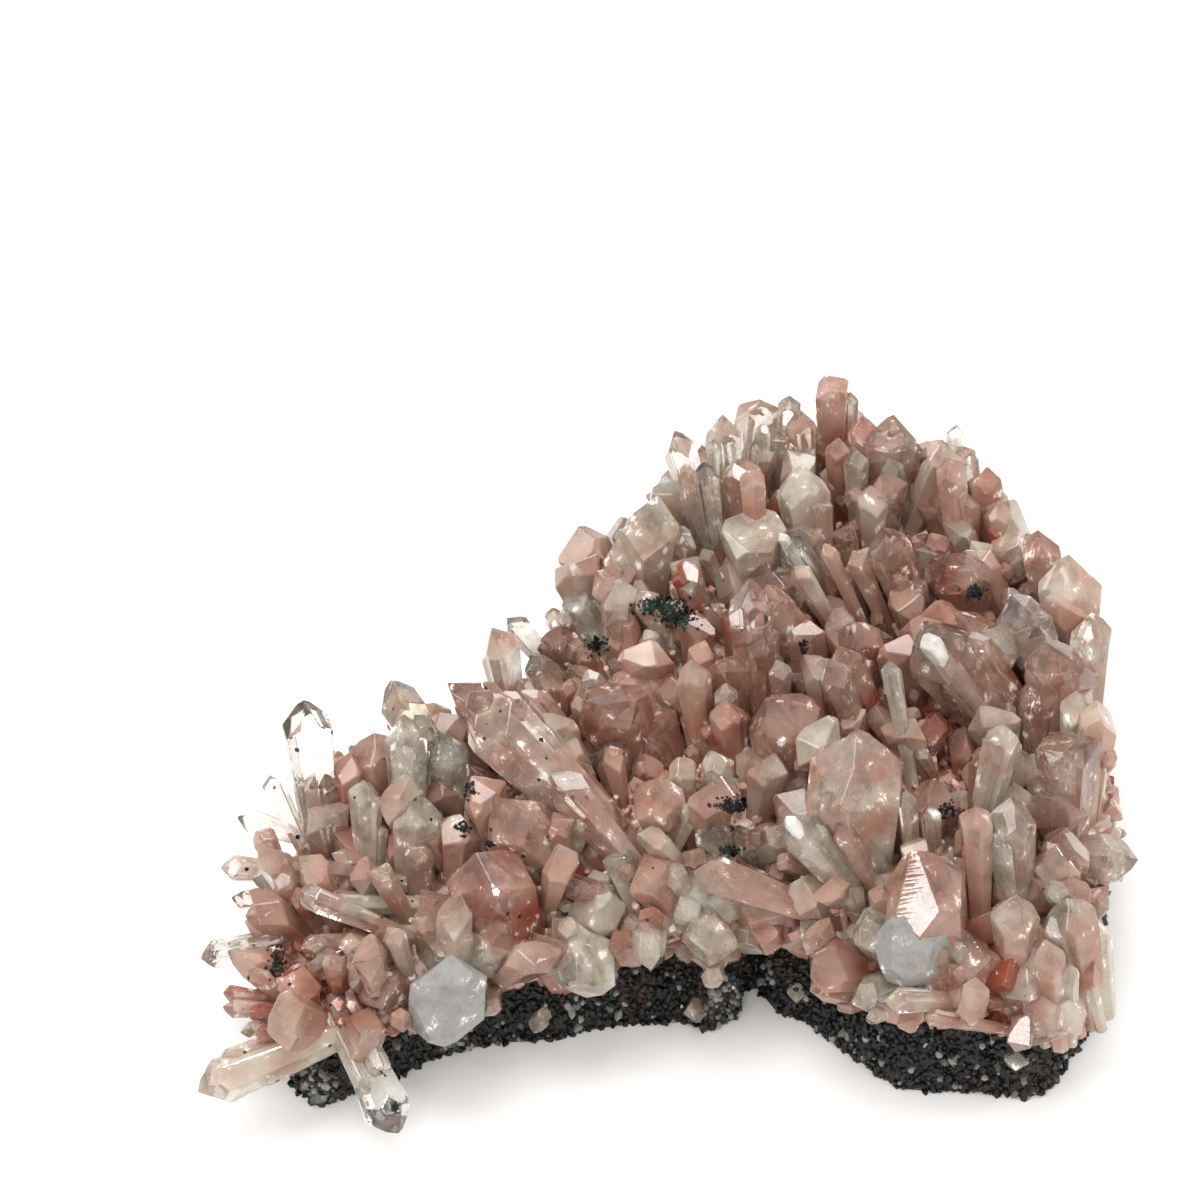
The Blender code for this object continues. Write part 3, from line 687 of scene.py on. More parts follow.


# %% [markdown]
# ## The large points
#
# Each row is one point: its name, where its foot and its tip are seen in the picture, its width and how
# far its tip leans towards the viewer in millimetres, and its look. Five looks cover them all: clear,
# pale, pink, red, which is partly painted shade where it stands in a recess, and reflection band,
# a thin white point laid along a prism face as its painted reflection. Quartz rarely grows one point
# alone, so each large one gets a few parallel companions that stand half inside its flank and end short
# of its tip.

# %% The rows
LEFT_ARM = (
    ("tall clear point", (323, 862), (303, 699), 8.5, 12.0, "clear"),
    ("needle behind the point", (310, 862), (269, 775), 3.7, 4.0, "clear"),
    ("upper side spike", (300, 837), (237, 816), 4.4, 4.0, "clear"),
    ("middle side spike", (285, 872), (220, 867), 4.6, 3.0, "pale"),
    ("beige side block", (305, 874), (250, 878), 6.5, 5.0, "pale"),
    ("lower side spike", (278, 905), (231, 897), 3.4, 3.0, "clear"),
    ("long pink spike", (330, 912), (245, 918), 7.6, 6.0, "pink"),
    ("clear spike under it", (290, 935), (200, 958), 5.0, 3.0, "clear"),
    ("long flat prism", (409, 937), (299, 892), 4.6, 8.0, "pale"),
    ("striped crystal", (285, 1000), (249, 968), 3.4, 3.0, "pale"),
    ("jagged plate one", (277, 1000), (223, 992), 2.9, 2.0, "pale"),
    ("jagged plate two", (275, 1010), (222, 1007), 3.4, 2.5, "pale"),
    ("jagged plate three", (282, 1018), (240, 1033), 3.0, 3.0, "pale"),
    ("speckled corner crystal", (322, 1040), (197, 1091), 7.4, 3.0, "pale"),
    ("bright striated point", (298, 985), (343, 951), 4.6, 8.0, "clear"),
    ("brown smooth end", (307, 985), (294, 1003), 7.8, 9.0, "pink"),
    ("clear front crystal", (350, 1028), (398, 1134), 7.8, 8.0, "clear"),
    ("pink mass left", (372, 960), (352, 990), 9.0, 8.0, "pale"),
    ("pink mass right", (392, 975), (380, 1012), 9.0, 9.0, "rosy"),
    ("grey hexagon end", (452, 985), (445, 1010), 14.6, 12.0, "frosted"),
    ("whitish end above it", (458, 945), (440, 958), 14.0, 9.0, "pale"),
    ("grey glinting end", (585, 952), (580, 979), 12.6, 11.0, "clear"),
    ("small end beside it", (548, 950), (540, 968), 7.0, 9.0, "pale"),
    ("pink knob", (530, 942), (522, 962), 6.0, 7.0, "pink"),
    ("large pale pink crystal", (512, 935), (475, 850), 13.6, 8.0, "rosy"),
    ("white faced pink crystal", (560, 872), (490, 798), 12.0, 8.0, "rosy"),
    ("big blade", (628, 852), (468, 692), 13.0, 2.0, "rosy"),
    ("crystal behind the blade", (560, 760), (447, 683), 9.0, 4.0, "rosy"),
    ("thin plate by the blade", (585, 765), (520, 690), 5.0, 4.0, "pink"),
    ("golden point", (455, 808), (389, 681), 8.8, 8.0, "clear"),
    ("point by the golden one", (412, 865), (404, 713), 7.6, 9.0, "clear"),
    ("sparkling shoulder", (475, 830), (437, 735), 8.0, 9.0, "clear"),
    ("round ended crystal", (412, 885), (420, 795), 8.5, 9.0, "pale"),
    ("brown column", (368, 885), (365, 780), 5.6, 10.0, "pale"),
    ("rough red crystal", (388, 838), (370, 733), 8.0, 9.0, "red"),
    ("lying prism one", (440, 890), (302, 868), 4.4, 4.0, "pale"),
    ("lying prism two", (430, 905), (320, 903), 4.4, 6.0, "pale"),
    ("low prism under the pink spike", (385, 940), (300, 948), 5.0, 6.0, "pale"),
)
UPPER_LEFT = (
    ("clear point", (716, 572), (674, 430), 6.6, 9.0, "clear"),
    ("thin point", (693, 548), (663, 476), 3.2, 6.0, "clear"),
    ("side point", (722, 592), (704, 461), 4.8, 9.0, "clear"),
    ("clear end at the top", (735, 545), (722, 415), 7.0, 8.0, "clear"),
    ("broad slanted crystal", (648, 612), (657, 497), 11.5, 9.0, "pale"),
    ("broad slanted shoulder", (640, 612), (618, 541), 7.5, 8.0, "pale"),
    ("round clear crystal", (628, 590), (564, 555), 7.0, 6.0, "clear"),
    ("small clear crystal", (608, 650), (568, 588), 5.4, 5.0, "clear"),
    ("brown pink crystal", (648, 642), (597, 570), 6.8, 7.0, "pink"),
    ("grey crystal", (642, 672), (612, 604), 4.8, 7.0, "pale"),
    ("outer clear crystal", (560, 678), (508, 616), 4.4, 4.0, "clear"),
    ("outer small crystal", (566, 668), (552, 607), 3.4, 5.0, "clear"),
    ("outer low crystal", (580, 690), (528, 655), 4.0, 4.0, "clear"),
    ("pink column", (736, 565), (735, 461), 5.2, 9.0, "pink"),
    ("column beside it", (758, 605), (752, 468), 5.2, 10.0, "pink"),
    ("column in the recess", (700, 640), (683, 560), 5.5, 9.0, "red"),
    ("point by the green patch", (678, 660), (640, 590), 5.0, 8.0, "pale"),
)
TOP = (
    ("grey tip at the edge", (783, 505), (790, 395), 4.8, 7.0, "clear"),
    ("small tip left of it", (765, 512), (762, 423), 2.9, 7.0, "clear"),
    ("pink crystal at the edge", (808, 505), (800, 408), 6.0, 8.0, "pink"),
    ("round knob", (840, 520), (838, 437), 5.0, 8.0, "pink"),
    ("pink shoulder", (868, 515), (862, 415), 6.0, 7.0, "pink"),
    ("topmost side tip", (848, 482), (850, 391), 3.6, 6.0, "pale"),
    ("smooth massive crystal", (886, 522), (893, 414), 9.6, 9.0, "rosy"),
    ("pale leaning crystal", (938, 505), (862, 492), 7.4, 9.0, "pale"),
    ("pale broad crystal", (812, 575), (800, 464), 9.4, 10.0, "pale"),
    ("white banded prism", (852, 622), (780, 535), 6.2, 8.0, "clear"),
    # painted reflection: a thin white point laid along the prism face as its reflection band
    ("white edge beside it", (838, 618), (779, 533), 2.2, 9.4, "milky"),
    ("parallel prism one", (872, 645), (824, 543), 3.4, 8.0, "pink"),
    ("parallel prism three", (893, 640), (852, 550), 4.2, 9.0, "pink"),
    ("parallel prism four", (836, 660), (776, 600), 4.4, 9.0, "pink"),
    ("large ridge crystal", (926, 645), (880, 527), 7.8, 10.0, "rosy"),
    ("clear end", (914, 484), (922, 450), 7.4, 12.0, "clear"),
    ("edge tip", (950, 505), (957, 424), 3.6, 6.0, "pale"),
    ("striped pink crystal", (960, 568), (950, 458), 6.4, 10.0, "pink"),
    ("thin edge tip", (982, 535), (970, 452), 3.0, 6.0, "pale"),
    ("brown edge crystal", (986, 562), (985, 466), 6.0, 8.0, "pink"),
    ("red edge crystal", (1000, 575), (999, 500), 5.5, 8.0, "red"),
    ("pale hexagon end", (1006, 578), (1017, 545), 9.6, 13.0, "pale"),
    ("crystal under the pale end", (992, 605), (965, 550), 4.8, 8.0, "pink"),
    ("smooth grey pink face", (1076, 668), (1068, 556), 11.2, 9.0, "pale"),
    ("face behind it", (1052, 630), (1038, 530), 7.5, 8.0, "pink"),
    ("filler right of the recess", (870, 560), (872, 486), 6.0, 8.0, "pink"),
)
MIDDLE = (
    ("large upright crystal", (757, 728), (750, 578), 8.4, 9.0, "rosy"),
    ("its neighbour", (797, 688), (770, 583), 6.4, 9.0, "pink"),
    ("round end", (650, 672), (648, 641), 5.4, 8.0, "pink"),
    ("green centred block", (650, 700), (638, 724), 16.0, 14.0, "pink"),
    ("pink block beside it", (600, 735), (585, 700), 9.0, 8.0, "pink"),
    ("round tip", (690, 822), (680, 757), 5.4, 8.0, "pale"),
    ("brown mass", (668, 842), (655, 778), 8.8, 10.0, "pink"),
    ("whitish hanging crystal", (768, 728), (757, 795), 7.8, 15.0, "pale"),
    ("striped crystal beside it", (728, 818), (712, 750), 5.0, 8.0, "pale"),
    ("upright crystal left", (706, 758), (690, 660), 6.2, 9.0, "pink"),
    ("lying block", (848, 690), (778, 676), 10.5, 8.0, "rosy"),
    ("grey green crystal", (867, 758), (828, 658), 7.0, 10.0, "rosy"),
    ("its twin", (888, 745), (838, 645), 6.2, 9.0, "rosy"),
    ("great domed crystal", (862, 872), (850, 735), 16.5, 12.0, "rosy"),
    ("bright banded crystal", (1012, 745), (920, 625), 12.0, 11.0, "rosy"),
    # painted reflection: a thin white point laid along the prism face as its reflection band
    ("white band on it", (1016, 752), (923, 634), 3.8, 12.6, "milky"),
    ("upper grey crystal", (1010, 690), (955, 612), 9.0, 8.0, "rosy"),
    ("clear leaning crystal", (1062, 705), (1010, 596), 10.2, 11.0, "clear"),
    ("hanging crystal", (1030, 705), (1030, 777), 5.0, 13.0, "pale"),
    ("prism below it", (975, 842), (1005, 725), 5.6, 9.0, "pale"),
    ("right wall crystal", (1070, 778), (1076, 692), 6.2, 9.0, "pale"),
    ("right low crystal", (1066, 818), (1050, 745), 7.0, 9.0, "pale"),
    ("right wall block", (1088, 735), (1092, 612), 7.5, 8.0, "pale"),
    ("right wall slab", (1085, 815), (1100, 700), 7.0, 6.0, "pink"),
    ("filler in the middle", (735, 770), (725, 700), 6.0, 8.0, "pink"),
    ("broad crystal under the ridge", (880, 700), (850, 620), 9.0, 9.0, "rosy"),
    ("crystal under the clear end", (960, 680), (935, 600), 7.0, 9.0, "pink"),
)
FRONT = (
    ("sparkling clear end", (716, 852), (712, 827), 7.0, 10.0, "clear"),
    ("clear end beside it", (762, 862), (735, 830), 5.2, 8.0, "clear"),
    ("long lying prism", (832, 918), (693, 868), 7.0, 6.0, "rosy"),
    ("smooth beige mass", (672, 892), (645, 900), 14.0, 8.0, "pale"),
    ("beige mass right", (770, 905), (750, 925), 12.0, 9.0, "pink"),
    ("beige mass middle", (712, 890), (705, 905), 11.0, 9.0, "pale"),
    ("block over the notch", (750, 922), (746, 948), 10.0, 8.0, "pale"),
    ("left hanging point", (628, 922), (665, 955), 6.6, 8.0, "pale"),
    ("left hanging block", (600, 905), (590, 925), 9.5, 9.0, "pale"),
    ("hanging clear crystal", (705, 905), (713, 964), 8.6, 10.0, "clear"),
    ("pale banded prism", (867, 908), (790, 815), 7.8, 9.0, "clear"),
    # painted reflection: a thin white point laid along the prism face as its reflection band
    ("white edge of the prism", (862, 912), (786, 816), 2.4, 10.6, "milky"),
    ("prism beside it", (888, 898), (822, 790), 7.0, 10.0, "rosy"),
    ("grey round end", (816, 925), (815, 946), 6.4, 8.0, "clear"),
    ("large pale crystal", (945, 978), (915, 853), 14.6, 12.0, "rosy"),
    ("milky white end", (915, 925), (912, 955), 13.5, 14.5, "frosted"),
    ("ring shaped end", (955, 935), (953, 958), 5.6, 12.0, "pale"),
    ("white triangle end", (882, 950), (866, 918), 7.4, 10.0, "clear"),
    ("clear corner crystal", (912, 975), (850, 1001), 5.6, 6.0, "clear"),
    ("lower corner crystal", (908, 1006), (865, 1018), 3.6, 5.0, "clear"),
    ("crossing prism", (1000, 1000), (884, 1000), 4.4, 9.0, "pale"),
    ("pink red mass", (1000, 962), (1000, 985), 10.5, 9.0, "red"),
    ("tall banded crystal", (1020, 915), (1010, 795), 9.0, 10.0, "clear"),
    ("pink prism behind", (980, 932), (975, 805), 5.4, 9.0, "pink"),
    ("short pale crystal", (1015, 985), (1015, 895), 7.8, 10.0, "pale"),
    ("right pointing crystal", (1064, 858), (1139, 858), 8.6, 3.0, "clear"),
    ("pale right crystal", (1086, 992), (1065, 895), 9.6, 8.0, "pale"),
    ("brown edge face", (1068, 938), (1108, 886), 5.0, 3.0, "pale"),
    ("low right crystal", (1056, 1018), (1045, 940), 6.2, 8.0, "pale"),
    ("right facing end", (1022, 972), (1022, 998), 7.4, 9.0, "pale"),
    ("smooth corner one", (1042, 1008), (1034, 1036), 11.0, 7.0, "pale"),
    ("smooth corner two", (1060, 1000), (1054, 1036), 9.0, 6.0, "pale"),
    ("filler at the right", (1050, 900), (1055, 845), 8.0, 8.0, "pink"),
    ("filler above the corner", (960, 985), (955, 1000), 8.0, 8.0, "pink"),
)
SMALL = (
    ("slender clear crystal", (622, 668), (592, 599), 2.6, 6.0, "clear"),
    ("small spike", (648, 692), (665, 664), 2.2, 4.0, "pale"),
    ("sparkling tip", (896, 738), (885, 685), 2.8, 6.0, "clear"),
    ("slender prism", (914, 792), (889, 660), 3.4, 9.0, "clear"),
    ("small pink spike", (1022, 655), (1008, 587), 3.6, 7.0, "pink"),
    ("short slender crystal", (662, 874), (697, 800), 3.6, 6.0, "pale"),
    ("smallest slender crystal", (660, 882), (668, 833), 2.6, 5.0, "pale"),
    ("thin upright prism", (936, 892), (930, 805), 3.4, 8.0, "clear"),
    ("lower crossing prism", (1010, 1030), (925, 1016), 2.8, 7.0, "pale"),
    ("upright filler", (455, 880), (462, 815), 7.0, 9.0, "pink"),
    ("recess column one", (790, 760), (800, 712), 6.0, 9.0, "red"),
    ("filler near the block", (690, 720), (705, 640), 5.0, 8.0, "red"),
    ("smallest tip", (753, 522), (755, 440), 3.0, 6.0, "clear"),
    ("red splinter one", (300, 1022), (248, 1010), 3.0, 4.0, "red"),
    ("red splinter two", (305, 1030), (254, 1034), 3.0, 4.5, "red"),
    ("filler below the recess", (790, 545), (778, 490), 5.5, 8.0, "red"),
    ("low ridge crystal", (905, 600), (895, 530), 5.0, 8.0, "pink"),
    ("recess column two", (930, 760), (935, 715), 6.0, 9.0, "red"),
    ("filler behind the dome", (820, 790), (812, 735), 8.0, 9.0, "pink"),
    ("filler under the dome", (905, 930), (900, 890), 6.5, 8.0, "pale"),
    ("crystal left of it", (957, 622), (925, 565), 4.6, 8.0, "pink"),
    ("whitish end beside it", (490, 945), (488, 962), 9.0, 9.0, "pale"),
    ("red crystal beside it", (352, 850), (350, 752), 6.5, 9.0, "red"),
    ("filler by the banded prism", (822, 918), (800, 880), 7.0, 8.0, "pale"),
    ("lying prism three", (400, 875), (330, 855), 4.0, 6.0, "pale"),
    ("sparkling shoulder at the top", (858, 535), (856, 450), 4.4, 8.0, "pale"),
    ("parallel prism two", (850, 655), (795, 565), 4.0, 9.0, "pink"),
    ("left low crystal", (647, 682), (607, 660), 4.4, 6.0, "clear"),
    ("upright prism", (916, 892), (905, 790), 4.0, 8.0, "clear"),
)
MASSES = (
    ("topmost crystal", (834, 482), (832, 378), 6.4, 7.0, "pink"),
    ("knob by the topmost", (838, 470), (836, 392), 7.5, 4.0, "pink"),
    ("mass behind the clear end", (932, 510), (925, 438), 9.5, 3.0, "pink"),
    ("mass by the edge tip", (958, 520), (954, 447), 8.0, 3.0, "pink"),
    ("mass on the edge", (988, 548), (984, 482), 8.0, 4.0, "pink"),
    ("mass behind the pale end", (1030, 590), (1030, 530), 9.0, 4.0, "pale"),
    ("mass before the columns", (762, 606), (752, 520), 11.0, 10.0, "pale"),
    ("mass left of the top", (790, 500), (778, 425), 9.0, 4.0, "pale"),
    ("slab at the right edge", (1058, 765), (1062, 640), 12.0, 8.0, "rosy"),
    ("slab under it", (1066, 850), (1068, 740), 10.0, 8.0, "rosy"),
    ("slab by the ridge", (965, 640), (960, 560), 11.0, 8.0, "rosy"),
    ("slab in the middle", (800, 640), (762, 570), 10.0, 7.0, "rosy"),
    ("slab at the left", (640, 760), (600, 690), 13.0, 7.0, "rosy"),
    ("slab behind the dome", (800, 790), (780, 700), 12.0, 7.0, "rosy"),
)

# %% The large points
LOOKS = {
    "clear": (0.0, 0.05),
    "rosy": (0.06, 0.85),
    "pale": (0.28, 0.35),
    "pink": (0.42, 0.80),
    # red: partly the quartz's own red and partly painted shade for the points in the recesses
    "red": (0.48, 1.15),
    # painted reflection: a white band laid along a prism face
    "milky": (0.62, -0.60),
    "frosted": (0.72, -2.00),
}
COMPANION_FROM = 5.0
BROKEN_LEAN = 0.7
FROSTED_LEAN = 0.12
MASS_LEAN = 0.5


def placed_ends(foot_spot, tip_spot, toward, height_at):
    """The foot on a surface and the tip, from their places in the picture."""
    foot = point_on_surface(foot_spot, height_at)
    nearness = (foot - AIM_POINT).dot(TOWARD) + toward * MM
    return foot, point_in_view(tip_spot, nearness)


def add_companions(growth, name, foot, tip, width, look):
    """Smaller parallel points in the flank of a large one."""
    draw = random.Random(f"companions of {name}")
    axis = tip - foot
    side = axis.orthogonal().normalized()
    for number in range(draw.randint(1, 3)):
        around = Matrix.Rotation(draw.uniform(0, math.tau), 3, axis) @ side
        start = foot + around * (width * MM * draw.uniform(0.20, 0.38))
        tilt = Vector((draw.uniform(-1, 1), draw.uniform(-1, 1), draw.uniform(-1, 1))) * axis.length * 0.05
        end = start + axis * draw.uniform(0.45, 0.90) + tilt
        broken = BROKEN_LEAN if draw.random() < 0.5 else 0.0
        growth.add(f"{name} companion {number}", start, end, width * draw.uniform(0.4, 0.7), look, broken=broken)


def grown(rows, name, material=QUARTZ, broken=0.0):
    """One piece from a table of rows."""
    growth = Growth()
    for title, foot_spot, tip_spot, width, toward, look in rows:
        foot, tip = placed_ends(foot_spot, tip_spot, toward, mound_height)
        frosted = look == "frosted"
        growth.add(title, foot, tip, width, LOOKS[look], broken=FROSTED_LEAN if frosted else broken)
        if width >= COMPANION_FROM and not frosted:
            add_companions(growth, title, foot, tip, width, LOOKS[look])
    return growth.finished(name, material)


clusters = [
    grown(LEFT_ARM, "left_arm_crystals", SPECKLED),
    grown(UPPER_LEFT, "upper_left_crystals"),
    grown(TOP, "top_crystals"),
    grown(MIDDLE, "middle_crystals"),
    grown(FRONT, "front_crystals"),
    grown(SMALL, "small_crystals"),
    grown(MASSES, "blunt_crystals", QUARTZ, MASS_LEAN),
]

# %% [markdown]
# ## The wall behind
#
# The back and the right of the crust end in a steep broken wall, and short points lean out of it. They
# are scattered by a rule with the same seed as in the solid model, so that each stands where its solid
# does.

# %% Wall crystals
WALL_CRYSTALS = 14
WALL_FROM = -35.0
WALL_TO = 195.0
WALL_INSET = 4.5 * MM


def wall_rows():
    """Foot, tip and width of the points that lean out of the wall."""
    draw = random.Random(SEED)
    rows = []
    for number in range(WALL_CRYSTALS):
        turn = math.radians(WALL_FROM + (WALL_TO - WALL_FROM) * (number + draw.random()) / WALL_CRYSTALS)
        direction = Vector((math.cos(turn), math.sin(turn)))
        plan = MOUND_CENTRE + direction * (rim_reach(direction) - WALL_INSET)
        top = mound_height(plan.x, plan.y)
        level = draw.uniform(0.3, 0.8)
        foot = Vector((plan.x, plan.y, PLATE_HEIGHT + (top - PLATE_HEIGHT) * level))
        lean = direction * draw.uniform(0.9, 1.6)
        axis = Vector((lean.x + draw.uniform(-0.5, 0.5), lean.y + draw.uniform(-0.5, 0.5), 1.1 * level))
        width = draw.uniform(4.0, 8.5)
        length = 1 * MM + width * MM * draw.uniform(0.5, 0.8)
        rows.append((f"wall crystal {number}", foot, foot + axis.normalized() * length, width))
    return rows


wall = Growth()
for title, foot, tip, width in wall_rows():
    wall.add(title, foot, tip, width, LOOKS["pale"])
clusters.append(wall.finished("wall_crystals", QUARTZ))

# %% [markdown]
# ## The lone crystals
#
# Five small clear points stand on the bare dark rock. They are nodes of their own in the solid model,
# and each is replaced with its finer twin.

# %% The lone crystals
LONE_ROOT_DEPTH = 1.5
LONE = (
    ("lone_crystal_left", (545, 1008), (534, 1034), 3.4, 2.5),
    ("lone_crystal_middle", (696, 1004), (692, 1022), 3.4, 3.5),
    ("lone_crystal_hexagon", (798, 996), (797, 984), 3.6, 3.6),
    ("lone_crystal_blue", (826, 990), (824, 974), 5.0, 3.6),
    ("lone_crystal_right", (1016, 1062), (1018, 1050), 4.2, 3.0),
)
for title, foot_spot, tip_spot, width, toward in LONE:
    lone = Growth()
    foot, tip = placed_ends(foot_spot, tip_spot, toward, rock_height)
    lone.add(title, foot, tip, width, LOOKS["clear"], LONE_ROOT_DEPTH)
    piece = lone.finished("clear_" + title, QUARTZ)
    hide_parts(title)

# %% [markdown]
# ## The crust
#
# Between the points the massive quartz shows: a mound on the plate, low along the left arm, that ends
# behind in a steep wall. It is built as rings of points round the mound's centre, from inside the plate
# up the wall and in over the top, with the ground's own height formula. Three sizes of noise lump it.

# %% The crust
CRUST_STEP = 2.2 * MM
CRUST_SUNK = 4.0 * MM
CRUST_BACK_INSET = 2.5 * MM
WALL_RELIEF = 3.2 * MM
WALL_LUMP = 11.0 * MM
WALL_BULGE = 1.5 * MM
WALL_RISE = 14.0 * MM
CRUST_RELIEF = 2.2 * MM
CRUST_LUMP = 9.0 * MM
COARSE_LUMP = 3.2 * MM
FINE_LUMP = 1.3 * MM


noise.seed_set(SEED)


def roughened(point):
    """A point of the crust moved by the two smaller sizes of lump."""
    coarse = noise.noise_vector(point / COARSE_LUMP) * 0.9 * MM
    fine = noise.noise_vector(point / FINE_LUMP) * 0.3 * MM
    return point + coarse + fine


def crust_rings():
    """Closed rings of points from inside the plate, up the wall and in over the top."""
    base = []
    for spot in even_points(CRUST_STEP):
        away = spot - MOUND_CENTRE
        inset = FRONT_SLOPE_RUN + (CRUST_BACK_INSET - FRONT_SLOPE_RUN) * back_share(away.normalized())
        base.append(MOUND_CENTRE + away * (1 - inset / away.length))
    rings = [[Vector((spot.x, spot.y, PLATE_HEIGHT - CRUST_SUNK)) for spot in base]]
    for level in [(step + 1) / 8 for step in range(8)]:
        ring = []
        for spot in base:
            direction = (spot - MOUND_CENTRE).normalized()
            top = mound_height(spot.x, spot.y)
            lump = noise.noise(Vector((spot.x, spot.y, level * WALL_RISE)) / WALL_LUMP) * WALL_RELIEF
            out = back_share(direction) * (lump + WALL_BULGE * math.sin(math.pi * level))
            plan = spot + direction * out
            ring.append(roughened(Vector((plan.x, plan.y, PLATE_HEIGHT + (top - PLATE_HEIGHT) * level))))
        rings.append(ring)
    for share in [1 - (step + 1) / 16 for step in range(15)]:
        ring = []
        for spot in base:
            plan = MOUND_CENTRE.lerp(spot, share)
            bump = noise.noise(Vector((plan.x, plan.y, share * CRUST_LUMP)) / CRUST_LUMP) * CRUST_RELIEF
            ring.append(roughened(Vector((plan.x, plan.y, mound_height(plan.x, plan.y) + bump))))
        rings.append(ring)
    return rings


def crust_piece():
    """The crust as a closed mesh with the same marks as the points on it."""
    growth = Growth()
    shape = growth.shape
    rows = [[shape.verts.new(point) for point in ring] for ring in crust_rings()]
    count = len(rows[0])
    for lower, upper in zip(rows, rows[1:]):
        for i in range(count):
            j = (i + 1) % count
            shape.faces.new((lower[i], lower[j], upper[j], upper[i]))
    shape.faces.new(rows[-1])
    shape.faces.new(rows[0][::-1])
    bmesh.ops.triangulate(shape, faces=[face for face in shape.faces if len(face.verts) > 4])
    for vert in shape.verts:
        away = vert.co.xy - MOUND_CENTRE
        share = away.length / max(rim_reach(away.normalized()), 1e-6)
        # the cloud mark picks the plain wall colours over the brightened crust colours near the rim
        vert[growth.marks["cloud"]] = max(0.0, min(1.0, (share - 0.86) / 0.06))
        # the blush mark also carries the hollows' painted shade
        vert[growth.marks["blush"]] = 0.45 + hollow_red_and_shade(vert.co)
    return growth.finished("quartz_crust", MASSIVE)


crust = crust_piece()
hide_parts("quartz_cluster")
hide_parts("quartz_cluster")

# %% [markdown]
# ## Small crystals all over the crust
#
# Hundreds of small points fill the gaps between the large ones, and thousands of dark grains cover the
# rock. This is what Geometry Nodes are for: one tree strews copies of a few patterns over a surface.
# It keeps them apart by a spacing, stands each along the surface's normal with some lean, turns and
# scales it at random from a fixed seed, and gives each its own marks for the finish. The copies are
# made real and turned into a plain mesh at the end.

# %% The strewing tree
class Recipe(Finish):
    """A Geometry Nodes tree, filled with the same method as a finish."""

    def __init__(self, name):
        self.tree = bpy.data.node_groups.new(name, "GeometryNodeTree")
        self.keys = {}

    def input(self, name, kind, value=None):
        """Adds a named input to the tree."""
        made = self.tree.interface.new_socket(name, in_out="INPUT", socket_type=kind)
        if value is not None:
            made.default_value = value
        self.keys[name] = made.identifier


